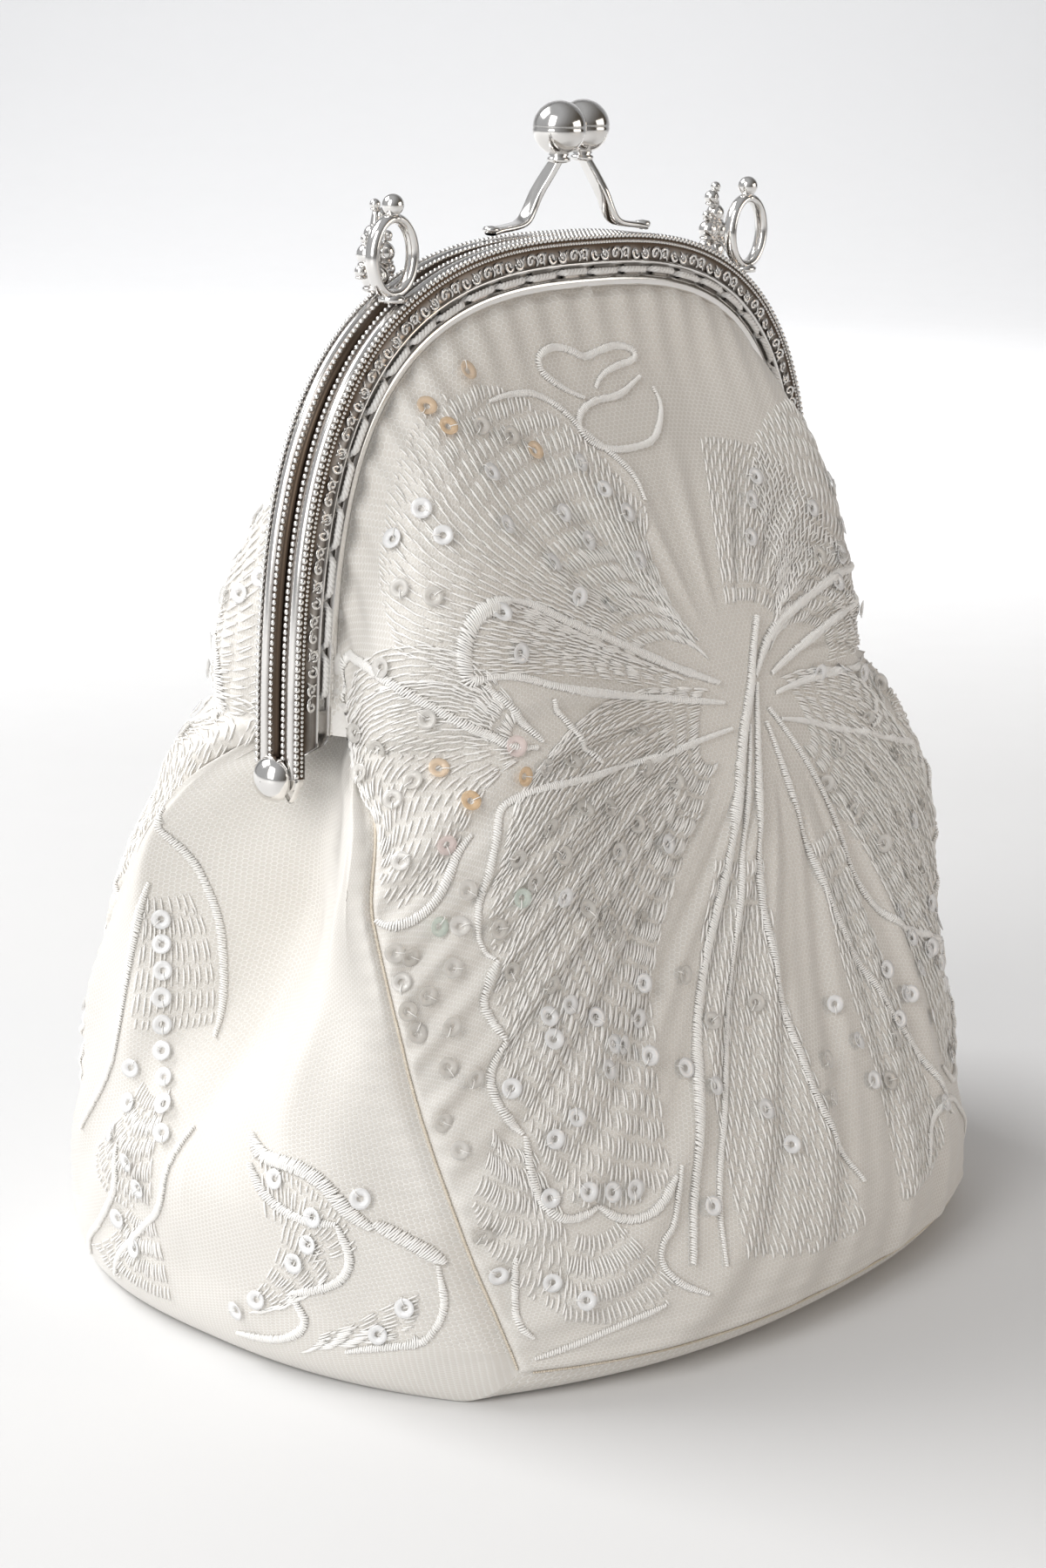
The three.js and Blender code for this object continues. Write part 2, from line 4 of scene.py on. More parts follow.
import bpy
import numpy as np
from mathutils import Matrix, Vector
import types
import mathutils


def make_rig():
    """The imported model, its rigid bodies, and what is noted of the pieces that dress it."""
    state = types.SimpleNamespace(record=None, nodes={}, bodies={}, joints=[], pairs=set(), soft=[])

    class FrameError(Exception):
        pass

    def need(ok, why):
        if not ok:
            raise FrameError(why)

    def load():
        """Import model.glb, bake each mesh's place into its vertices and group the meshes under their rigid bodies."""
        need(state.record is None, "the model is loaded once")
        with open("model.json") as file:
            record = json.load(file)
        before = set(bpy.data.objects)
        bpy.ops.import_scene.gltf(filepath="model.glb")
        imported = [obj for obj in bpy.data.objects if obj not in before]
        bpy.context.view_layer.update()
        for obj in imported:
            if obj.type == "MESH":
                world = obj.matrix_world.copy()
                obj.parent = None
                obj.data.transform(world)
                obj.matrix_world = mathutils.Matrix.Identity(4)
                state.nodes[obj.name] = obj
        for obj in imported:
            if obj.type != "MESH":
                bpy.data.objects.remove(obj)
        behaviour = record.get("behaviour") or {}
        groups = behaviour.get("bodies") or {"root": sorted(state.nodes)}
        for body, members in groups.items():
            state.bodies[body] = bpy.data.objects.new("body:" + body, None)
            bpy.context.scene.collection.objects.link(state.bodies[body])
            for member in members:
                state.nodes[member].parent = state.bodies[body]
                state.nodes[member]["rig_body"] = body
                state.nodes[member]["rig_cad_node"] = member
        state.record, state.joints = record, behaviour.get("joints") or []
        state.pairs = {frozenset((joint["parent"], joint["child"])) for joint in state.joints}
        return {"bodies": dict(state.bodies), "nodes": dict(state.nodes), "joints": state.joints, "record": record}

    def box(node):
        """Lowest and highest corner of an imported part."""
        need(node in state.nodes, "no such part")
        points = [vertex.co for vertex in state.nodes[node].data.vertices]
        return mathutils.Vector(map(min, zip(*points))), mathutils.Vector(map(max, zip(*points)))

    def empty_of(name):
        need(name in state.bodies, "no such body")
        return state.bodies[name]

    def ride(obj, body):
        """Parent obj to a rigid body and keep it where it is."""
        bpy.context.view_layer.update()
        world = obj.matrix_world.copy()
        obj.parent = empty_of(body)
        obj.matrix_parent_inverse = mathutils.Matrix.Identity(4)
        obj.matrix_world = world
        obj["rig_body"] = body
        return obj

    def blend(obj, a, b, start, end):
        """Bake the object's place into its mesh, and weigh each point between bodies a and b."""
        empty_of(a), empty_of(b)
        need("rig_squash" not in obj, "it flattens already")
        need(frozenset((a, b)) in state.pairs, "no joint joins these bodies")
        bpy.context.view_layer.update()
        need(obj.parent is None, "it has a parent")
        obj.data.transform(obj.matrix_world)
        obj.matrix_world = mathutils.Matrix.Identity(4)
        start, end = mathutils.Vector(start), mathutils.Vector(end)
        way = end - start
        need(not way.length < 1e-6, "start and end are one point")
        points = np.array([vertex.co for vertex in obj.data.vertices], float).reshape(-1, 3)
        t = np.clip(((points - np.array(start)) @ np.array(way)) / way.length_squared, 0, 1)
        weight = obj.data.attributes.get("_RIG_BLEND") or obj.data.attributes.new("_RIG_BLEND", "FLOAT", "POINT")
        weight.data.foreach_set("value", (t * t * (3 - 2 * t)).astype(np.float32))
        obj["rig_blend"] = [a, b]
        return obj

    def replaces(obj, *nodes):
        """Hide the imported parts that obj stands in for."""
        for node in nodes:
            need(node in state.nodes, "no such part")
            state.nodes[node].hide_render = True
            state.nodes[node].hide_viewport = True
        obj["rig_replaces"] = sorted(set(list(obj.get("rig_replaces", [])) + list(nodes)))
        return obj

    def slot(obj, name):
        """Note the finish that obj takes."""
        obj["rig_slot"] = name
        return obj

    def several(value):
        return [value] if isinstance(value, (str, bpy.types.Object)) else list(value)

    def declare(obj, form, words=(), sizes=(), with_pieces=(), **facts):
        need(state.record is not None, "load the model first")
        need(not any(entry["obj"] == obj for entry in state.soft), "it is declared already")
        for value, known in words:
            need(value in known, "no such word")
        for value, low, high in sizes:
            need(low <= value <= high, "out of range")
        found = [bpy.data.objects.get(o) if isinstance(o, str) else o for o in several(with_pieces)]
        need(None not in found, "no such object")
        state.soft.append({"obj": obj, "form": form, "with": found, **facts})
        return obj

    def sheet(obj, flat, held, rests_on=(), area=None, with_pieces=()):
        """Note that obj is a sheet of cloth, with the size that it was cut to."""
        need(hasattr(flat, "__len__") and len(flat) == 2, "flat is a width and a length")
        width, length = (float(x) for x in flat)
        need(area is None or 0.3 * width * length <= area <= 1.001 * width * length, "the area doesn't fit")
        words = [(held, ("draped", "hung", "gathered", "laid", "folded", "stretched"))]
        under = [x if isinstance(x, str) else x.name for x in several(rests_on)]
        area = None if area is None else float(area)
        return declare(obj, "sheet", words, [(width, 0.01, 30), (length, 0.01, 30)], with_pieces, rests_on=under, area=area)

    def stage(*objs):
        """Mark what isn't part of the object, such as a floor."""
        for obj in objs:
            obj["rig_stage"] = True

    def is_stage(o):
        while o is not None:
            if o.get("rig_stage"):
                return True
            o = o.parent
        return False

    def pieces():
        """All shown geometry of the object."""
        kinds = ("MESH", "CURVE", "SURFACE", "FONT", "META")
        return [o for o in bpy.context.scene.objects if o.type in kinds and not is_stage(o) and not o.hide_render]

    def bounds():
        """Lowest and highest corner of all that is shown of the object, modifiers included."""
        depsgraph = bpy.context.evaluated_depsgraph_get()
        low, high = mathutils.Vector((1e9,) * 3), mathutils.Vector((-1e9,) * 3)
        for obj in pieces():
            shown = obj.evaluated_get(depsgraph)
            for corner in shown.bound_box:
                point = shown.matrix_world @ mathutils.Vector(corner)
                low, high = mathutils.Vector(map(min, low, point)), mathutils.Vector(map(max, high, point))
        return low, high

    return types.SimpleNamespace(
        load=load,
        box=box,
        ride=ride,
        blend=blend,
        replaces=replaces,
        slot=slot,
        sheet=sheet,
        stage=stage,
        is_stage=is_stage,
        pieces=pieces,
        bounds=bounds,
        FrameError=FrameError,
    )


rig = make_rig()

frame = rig.load()
cad_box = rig.bounds()

# Lengths are millimetres until a mesh is made; -Y is the front of the bag and Z is up.
MM = 0.001
FRONT, REAR = -1, 1
HALVES = {FRONT: "front", REAR: "rear"}

# ---------------------------------------------------------------- the metal arch's line
HINGE_Z = 84.0
ARCH_HALF_WIDTH = 62.5
ARCH_RISE = 75.4
ARCH_POWER_X, ARCH_POWER_Z = 2.75, 3.26
MATE_GAP = 0.15
FRAME_DEPTH = 4.4
FLANGE_WIDTH = 8.2
FLANGE_END_Z = 90.5
STITCH_PITCH = 7.5
STITCH_LINE = 5.6
SLOT_LENGTH = 3.0
SLOT_WIDTH = 1.5

angle = np.linspace(0.0, math.pi, 4001)
ARCH_X = -ARCH_HALF_WIDTH * np.sign(np.cos(angle)) * np.abs(np.cos(angle)) ** (2 / ARCH_POWER_X)
ARCH_Z = HINGE_Z + ARCH_RISE * np.abs(np.sin(angle)) ** (2 / ARCH_POWER_Z)
ARCH_S = np.concatenate([[0.0], np.cumsum(np.hypot(np.diff(ARCH_X), np.diff(ARCH_Z)))])
ARCH_TOTAL = ARCH_S[-1]


def arch_at_height(z):
    """Distance along the arch, from the left hinge, at which its rim reaches z."""
    return float(ARCH_S[np.argmax(ARCH_Z >= z)])


def frame_point(distance, inside, y):
    """Points at a distance along the arch and a depth inside its rim, as (n, 3)."""
    d = np.asarray(distance, float)
    step = 0.4
    ahead, behind = np.clip(d + step, 0, ARCH_TOTAL), np.clip(d - step, 0, ARCH_TOTAL)
    tx = np.interp(ahead, ARCH_S, ARCH_X) - np.interp(behind, ARCH_S, ARCH_X)
    tz = np.interp(ahead, ARCH_S, ARCH_Z) - np.interp(behind, ARCH_S, ARCH_Z)
    size = np.hypot(tx, tz)
    x = np.interp(d, ARCH_S, ARCH_X) + tz / size * inside
    z = np.interp(d, ARCH_S, ARCH_Z) - tx / size * inside
    return np.stack(np.broadcast_arrays(x, np.asarray(y, float), z), -1)


FLANGE_START = arch_at_height(FLANGE_END_Z)
STITCH_COUNT = int((ARCH_TOTAL - 2 * FLANGE_START - STITCH_PITCH) // STITCH_PITCH)
STITCH_START = (ARCH_TOTAL - STITCH_COUNT * STITCH_PITCH) / 2

# ---------------------------------------------------------------- the cloth body's lines
# (height, value) tables: half depth at the middle, the side seam, and the gusset's pleat.
HALF_DEPTH = [(0, 56.5), (4.5, 57.5), (12, 58), (25, 54.5), (50, 45), (76, 36.5), (101, 27.5), (126, 16.5),
              (140, 8.5), (152, 4.4)]
SEAM_HALF_WIDTH = [(0, 57.5), (4.5, 58), (25, 63), (50, 66.5), (68, 66.5), (79, 62), (90, 53.8)]
SEAM_HALF_DEPTH = [(0, 49), (4.5, 47.5), (30, 38.8), (55, 30.3), (70, 24), (80, 19), (90, 8.5), (104, 4)]
GUSSET_MIDDLE = [(12, 77), (25, 78.5), (40, 74), (55, 65), (68, 58), (80, 54)]
RIDGE_X = [(14, 77), (25, 78.5), (40, 76), (55, 71.5), (68, 68), (79, 62.5), (88, 54.5)]
RIDGE_Y = [(14, 12), (30, 12.5), (45, 16), (60, 19), (72, 19.5), (79, 17), (88, 9)]
VALLEY_X = [(14, 77), (25, 77), (36, 69), (50, 58), (64, 51), (80, 48)]
PANEL_BOTTOM_Z = 4.5
SWELL = 14.5
SLUMP = 2.4
BASE_BOW = 0.10
CENTRE = (6.6, 88.0)
ACROSS, UP = 60.0, 150.0
BASE_HALF_WIDTH = 58.0
FACE_ROUND = [(0, 3), (20, 3.2), (60, 5), (86, 8), (104, 14), (126, 14), (150, 6)]
MOUTH_INSIDE = FLANGE_WIDTH + 0.75
MOUTH_START = arch_at_height(FLANGE_END_Z - 0.6)
HEM_INSIDE = 4.6
HEM_Y = 3.25


def profile(table, z):
    """Smooth monotone curve through a table's points."""
    knots = np.array(table, float)
    zs, vs = knots[:, 0], knots[:, 1]
    z = np.clip(z, zs[0], zs[-1])
    slope = np.diff(vs) / np.diff(zs)
    product = slope[:-1] * slope[1:]
    total = np.where(np.abs(slope[:-1] + slope[1:]) < 1e-9, 1.0, slope[:-1] + slope[1:])
    tangent = np.concatenate([[slope[0]], np.where(product > 0, 2 * product / total, 0.0), [slope[-1]]])
    i = np.clip(np.searchsorted(zs, z, side="right") - 1, 0, len(zs) - 2)
    h = zs[i + 1] - zs[i]
    t = (z - zs[i]) / h
    t2, t3 = t * t, t * t * t
    return ((2 * t3 - 3 * t2 + 1) * vs[i] + (t3 - 2 * t2 + t) * h * tangent[i]
            + (3 * t2 - 2 * t3) * vs[i + 1] + (t3 - t2) * h * tangent[i + 1])


mouth = frame_point(np.linspace(MOUTH_START, ARCH_TOTAL / 2, 400), MOUTH_INSIDE, 0.0)


def smooth(x, low, high):
    """0 below low, 1 above high, and a smooth step between them."""
    t = np.clip((x - low) / (high - low), 0, 1)
    return t * t * (3 - 2 * t)


def face_depth(x, z):
    """Half depth of the front or rear face, round from edge to edge."""
    width = np.where(z < 90, profile(SEAM_HALF_WIDTH, z), np.interp(z, mouth[:, 2], -mouth[:, 0]))
    edge = profile(SEAM_HALF_DEPTH, z)
    share = np.clip(np.abs(x) / np.maximum(width, 1), 0, 1)
    return edge + (np.maximum(profile(HALF_DEPTH, z), edge) - edge) * (1 - share ** profile(FACE_ROUND, z))


def mouth_distance(s):
    """Distance along the arch of the face's top edge: s runs from -1 at the left seam to 1."""
    return MOUTH_START + (ARCH_TOTAL - 2 * MOUTH_START) * (s + 1) / 2


def bare_panel(s, v, side):
    """The face between its seams: s runs from the left seam to the right, v from the base to the frame."""
    top = frame_point(mouth_distance(s), MOUTH_INSIDE, 0.0)
    bottom_x = s * BASE_HALF_WIDTH
    z = PANEL_BOTTOM_Z + (top[..., 2] - PANEL_BOTTOM_Z) * v
    straight = bottom_x + (top[..., 0] - bottom_x) * v
    climb = np.clip((z - PANEL_BOTTOM_Z) / (mouth[0, 2] - PANEL_BOTTOM_Z), 0, 1)
    edge_straight = BASE_HALF_WIDTH + (abs(mouth[0, 0]) - BASE_HALF_WIDTH) * climb
    edge = profile(SEAM_HALF_WIDTH, np.minimum(z, mouth[0, 2]))
    spread = np.where(climb < 1, edge / edge_straight, 1.0)
    x = straight * (1 + (spread - 1) * np.abs(s) ** 1.5)
    y = face_depth(x, z)
    # Above the hinge the cloth swells out past the flange that holds it.
    swell = SWELL * smooth(y, 4, 20) * smooth(z, 74, 94) * (1 - smooth(z, 116, 148)) * np.abs(s) ** 3
    swell = swell * (1 - np.exp(-((1 - np.abs(s)) * ACROSS / 5) ** 2))
    return np.stack([x + np.sign(s) * swell, side * y, z], -1)


def normal_of(surface, a, b, step=2e-3):
    """Unit normals of surface(a, b), by differences."""
    da = surface(np.clip(a + step, -1, 1), b) - surface(np.clip(a - step, -1, 1), b)
    db = surface(a, np.clip(b + step, 0, 1)) - surface(a, np.clip(b - step, 0, 1))
    n = np.cross(da, db)
    return n / np.maximum(np.linalg.norm(n, axis=-1, keepdims=True), 1e-9)


def off_seam(from_seam):
    """0 on a seam and 1 a few millimetres away, so that the pieces that meet there share its line."""
    return 1 - np.exp(-(from_seam / SEAM_SHARED) ** 2)


def seam_tuck(p, from_seam):
    """How a seam draws the cloth in, towards the middle of the bag."""
    inward = p * np.array([1.0, 1.0, 0.0]) + np.array([0.0, 0.0, -SEAM_CENTRE_Z])
    inward /= np.linalg.norm(inward, axis=-1, keepdims=True)
    return inward * (SEAM_TUCK * np.exp(-(from_seam / SEAM_TUCK_FADE) ** 2))[..., None]


def slumped(p):
    """The filled body hangs a little to the left of the frame, and its base bows out front and rear."""
    bow = BASE_BOW * np.clip(1 - (p[..., 0] / BASE_HALF_WIDTH) ** 2, 0, 1) * (1 - smooth(p[..., 2], 0, 60))
    return p + stack(-SLUMP * (1 - smooth(p[..., 2], 56, 88)), p[..., 1] * bow, 0.0)


GATHER_RISE, GATHER_FADE = 0.42, 8.0
ROLL_RISE, ROLL_BELOW, ROLL_WIDTH = 0.5, 7.0, 6.0
RIPPLE_RISE, STRIP_RIPPLE_RISE = 0.5, 0.45
CHANNELS, CHANNEL_RISE = 34, 0.34
FINE_CHANNELS, FINE_CHANNEL_RISE = 61, 0.2
CHANNEL_TWIST = 0.006
PUCKER_WAVE, PUCKER_RISE, STRIP_PUCKER_RISE = 2.1, 0.28, 0.25
SEAM_TUCK, SEAM_TUCK_FADE, SEAM_CENTRE_Z = 1.1, 1.0, 12.0
SEAM_SHARED = 1.8

# Soft folds of a face: (across, up) in millimetres at both ends, half width and height.
FACE_FOLDS = [
    ((-40, 128), (-14, 96), 7.0, 1.0), ((-22, 142), (-8, 118), 5.0, -0.8), ((46, 132), (36, 96), 6.5, -2.2),
    ((54, 118), (50, 78), 7.0, 1.6), ((14, 146), (10, 124), 5.0, -0.8), ((-52, 112), (-30, 84), 6.0, 1.2),
    ((30, 60), (44, 16), 10.0, 0.8), ((-18, 70), (-34, 20), 10.0, -0.9), ((4, 84), (2, 20), 5.0, 1.0),
    ((56, 66), (46, 22), 6.5, -1.2), ((-56, 70), (-52, 30), 5.0, 0.8), ((12, 84), (16, 22), 5.0, 0.8),
]


def fold_height(across, up, folds):
    """Height of a list of soft folds at a point of the cloth."""
    height = np.zeros(np.broadcast(across, up).shape)
    for (a0, u0), (a1, u1), width, rise in folds:
        da, du = a1 - a0, u1 - u0
        length2 = da * da + du * du
        t = ((across - a0) * da + (up - u0) * du) / length2
        off = ((across - a0) * du - (up - u0) * da) / math.sqrt(length2)
        along = smooth(t, -0.25, 0.2) * (1 - smooth(t, 0.75, 1.25))
        height = height + rise * np.exp(-(off / width) ** 2) * along
    return height


def panel(s, v, side):
    """A face with its folds, the gathers under the frame and the tuck along its seams."""
    base = lambda a, b: bare_panel(a, b, side)
    p = base(s, v)
    n = normal_of(base, s, v) * -side
    across, up = s * ACROSS, v * UP
    height = fold_height(across, up, FACE_FOLDS)
    from_top = (1 - v) * (p[..., 2] / np.maximum(v, 0.05))
    gather = np.cos(2 * math.pi * (mouth_distance(s) - STITCH_START) / STITCH_PITCH)
    height += GATHER_RISE * gather * np.exp(-from_top / GATHER_FADE)
    height += ROLL_RISE * np.exp(-((from_top - ROLL_BELOW) / ROLL_WIDTH) ** 2)
    ripple = np.sin(across / 9.5 + up / 17) * np.sin(up / 12.5 - across / 23)
    height += RIPPLE_RISE * ripple * smooth(v, 0.02, 0.2)
    # Shallow channels that the rows of stitches draw out of the flower's centre.
    reach = np.hypot(across - CENTRE[0], up - CENTRE[1])
    turn = np.arctan2(up - CENTRE[1], across - CENTRE[0]) + reach * CHANNEL_TWIST
    outward = smooth(reach, 7, 20) * (1 - smooth(up, 112, 135))
    channels = CHANNEL_RISE * np.cos(turn * CHANNELS) * smooth(reach, 8, 26)
    height += outward * (channels + FINE_CHANNEL_RISE * np.cos(turn * FINE_CHANNELS + 1))
    from_seam = np.minimum((1 - np.abs(s)) * ACROSS, v * UP)
    height += PUCKER_RISE * np.cos(p[..., 2] * PUCKER_WAVE) * np.exp(-from_seam / 4)
    return slumped(p + n * (height * off_seam(from_seam))[..., None] - seam_tuck(p, from_seam))


# ---------------------------------------------------------------- meshes
def new_object(name, verts, faces, material, attributes=None):
    """A mesh object from points in millimetres."""
    mesh = bpy.data.meshes.new(name)
    verts = np.asarray(verts, float).reshape(-1, 3) * MM
    mesh.from_pydata(verts.tolist(), [], [tuple(int(i) for i in f) for f in faces])
    mesh.validate()
    mesh.polygons.foreach_set("use_smooth", np.ones(len(mesh.polygons), bool))
    for key, values in (attributes or {}).items():
        values = np.asarray(values, np.float32)
        kind = "FLOAT" if values.ndim == 1 else "FLOAT_VECTOR"
        layer = mesh.attributes.new(key, kind, "POINT")
        layer.data.foreach_set("value" if values.ndim == 1 else "vector", values.ravel())
    mesh.update()
    obj = bpy.data.objects.new(name, mesh)
    bpy.context.scene.collection.objects.link(obj)
    mesh.materials.append(material)
    return obj


def grid_faces(rows, columns, wrap=False):
    """Quads of a rows x columns grid of points; wrap closes it across its columns."""
    r = np.arange(rows - 1)[:, None]
    c = np.arange(columns if wrap else columns - 1)[None, :]
    nxt = (c + 1) % columns
    a = r * columns + c
    b = r * columns + nxt
    return np.stack([a, b, b + columns, a + columns], -1).reshape(-1, 4)


def fan(start, count):
    """A flat cap over a ring of count points."""
    return [[start, start + i, start + i + 1, start + i + 1] for i in range(1, count - 1)]


class Bundle:
    """Collects many small solids into the points and faces of one mesh."""

    def __init__(self):
        self.points, self.quads, self.values, self.count = [], [], [], 0

    def add(self, points, faces, value=0.0):
        """points (n, 3), or (m, n, 3) for m copies of the same faces."""
        points = np.asarray(points, float)
        many = points if points.ndim == 3 else points[None]
        m, n = many.shape[0], many.shape[1]
        faces = np.asarray(faces)
        shift = (np.arange(m) * n)[:, None, None] + self.count
        self.points.append(many.reshape(-1, 3))
        self.quads.extend((faces[None] + shift).reshape(-1, faces.shape[1]).tolist())
        value = np.asarray(value, float)
        if value.ndim == 1 and m > 1:
            value = value[:, None]
        value = np.broadcast_to(value, (m, n))
        self.values.append(value.reshape(-1))
        self.count += m * n

    def build(self, name, material):
        return new_object(name, np.concatenate(self.points), self.quads, material,
                          {"tone": np.concatenate(self.values)})


TIP_TAPER = 0.35


def tubes(paths, radius, sides=4, lift=None):
    """Tubes along (m, k, 3) paths, tapered to their ends: points (m, n, 3) and shared faces."""
    paths = np.asarray(paths, float)
    m, k, _ = paths.shape
    along = np.gradient(paths, axis=1)
    along /= np.maximum(np.linalg.norm(along, axis=-1, keepdims=True), 1e-9)
    up = np.broadcast_to(np.array([0.02, 1.0, 0.03]) if lift is None else lift[:, None, :], along.shape)
    side = np.cross(along, up)
    side /= np.maximum(np.linalg.norm(side, axis=-1, keepdims=True), 1e-9)
    up = np.cross(side, along)
    taper = np.ones(k)
    taper[0] = taper[-1] = TIP_TAPER
    turn = 2 * math.pi * (np.arange(sides) + 0.5) / sides
    radius = np.broadcast_to(np.asarray(radius, float).reshape(-1, 1, 1, 1), (m, 1, 1, 1))
    ring = (np.cos(turn)[None, None, :, None] * side[:, :, None, :]
            + np.sin(turn)[None, None, :, None] * up[:, :, None, :])
    points = paths[:, :, None, :] + ring * radius * taper[None, :, None, None]
    quads = grid_faces(k, sides, wrap=True).tolist()
    first = list(range(sides))[::-1]
    last = [(k - 1) * sides + i for i in range(sides)]
    if sides == 4:
        quads += [first, last]
    else:
        for ends in (first, last):
            quads += [[ends[0], ends[i], ends[i + 1], ends[i + 1]] for i in range(1, sides - 1)]
    return points.reshape(m, k * sides, 3), np.array(quads)


def ball_template(columns=10, rows=6):
    """A unit ball of quads, with small caps at its poles."""
    points = []
    for j in range(rows + 1):
        phi = math.pi * (0.04 + 0.92 * j / rows)
        for i in range(columns):
            a = 2 * math.pi * i / columns
            points.append((math.sin(phi) * math.cos(a), math.sin(phi) * math.sin(a), math.cos(phi)))
    quads = grid_faces(rows + 1, columns, wrap=True)
    return np.array(points), quads


BALL, BALL_QUADS = ball_template()


# ---------------------------------------------------------------- node helpers
class Nodes:
    """Short calls for building one material's node tree."""

    def __init__(self, name):
        self.material = bpy.data.materials.new(name)
        self.material.use_nodes = True
        self.tree = self.material.node_tree
        self.shader = self.tree.nodes["Principled BSDF"]

    def new(self, kind, **settings):
        node = self.tree.nodes.new(kind)
        for key, value in settings.items():
            setattr(node, key, value)
        return node

    def put(self, socket, value):
        if isinstance(value, bpy.types.NodeSocket):
            self.tree.links.new(value, socket)
        else:
            socket.default_value = value

    def math(self, operation, *values, clamp=False):
        node = self.new("ShaderNodeMath", operation=operation, use_clamp=clamp)
        for socket, value in zip(node.inputs, values):
            self.put(socket, value)
        return node.outputs[0]

    def vector(self, operation, *values):
        node = self.new("ShaderNodeVectorMath", operation=operation)
        for socket, value in zip(node.inputs, values):
            self.put(socket, value)
        return node.outputs["Value" if operation in ("DOT_PRODUCT", "LENGTH") else 0]

    def attribute(self, name, output="Fac"):
        return self.new("ShaderNodeAttribute", attribute_name=name).outputs[output]

    def noise(self, vector, scale, detail=3.0):
        node = self.new("ShaderNodeTexNoise")
        self.put(node.inputs["Vector"], vector)
        node.inputs["Scale"].default_value = scale
        node.inputs["Detail"].default_value = detail
        return node.outputs["Fac"]

    def mix(self, factor, a, b):
        node = self.new("ShaderNodeMix", data_type="RGBA")
        self.put(node.inputs["Factor"], factor)
        self.put(node.inputs["A"], a)
        self.put(node.inputs["B"], b)
        return node.outputs["Result"]

    def ramp(self, factor, low, high):
        """0 below low, 1 above high."""
        node = self.new("ShaderNodeMapRange", interpolation_type="SMOOTHSTEP")
        self.put(node.inputs["Value"], factor)
        node.inputs["From Min"].default_value = low
        node.inputs["From Max"].default_value = high
        return node.outputs["Result"]

    def bump(self, height, strength, distance, below=None):
        node = self.new("ShaderNodeBump")
        node.inputs["Strength"].default_value = strength
        node.inputs["Distance"].default_value = distance
        self.put(node.inputs["Height"], height)
        if below is not None:
            self.put(node.inputs["Normal"], below)
        return node.outputs["Normal"]

    def set(self, **values):
        for key, value in values.items():
            self.put(self.shader.inputs[key.replace("_", " ")], value)


def object_position(n):
    return n.new("ShaderNodeTexCoord").outputs["Object"]


def chrome_material():
    """Bright nickel plate: cloudy roughness, fine scratches, and dull recesses darkened with painted shade and
    tarnish.
    """
    n = Nodes("nickel_plate")
    place = object_position(n)
    # On the plate, tone is painted shade and tarnish, set per piece and across the rim's section.
    cavity = n.attribute("tone")
    cloud = n.noise(place, 160.0, 4.0)
    stretched = n.vector("MULTIPLY", place, (900.0, 3500.0, 500.0))
    scratch = n.noise(stretched, 1.0, 2.0)
    # Painted shade and tarnish: the tone mask with cloudy patches, which darkens the colour and dulls the finish.
    shade_and_tarnish_level = n.math("MULTIPLY_ADD", cavity, 0.9, n.math("MULTIPLY_ADD", cloud, 0.35, -0.18))
    painted_shade_and_tarnish = n.ramp(shade_and_tarnish_level, 0.12, 0.85)
    bright = n.mix(cloud, (0.74, 0.72, 0.69, 1), (0.86, 0.85, 0.84, 1))
    # The dark brown is the colour of the painted shade and tarnish.
    n.set(Base_Color=n.mix(painted_shade_and_tarnish, bright, (0.085, 0.062, 0.045, 1)), Metallic=1.0)
    rough = n.math("MULTIPLY_ADD", cloud, 0.12, 0.07)
    n.set(Roughness=n.math("MULTIPLY_ADD", painted_shade_and_tarnish, 0.3, rough))
    n.set(Normal=n.bump(n.math("MULTIPLY_ADD", scratch, 0.25, cloud), 0.12, 0.0002))
    return n.material


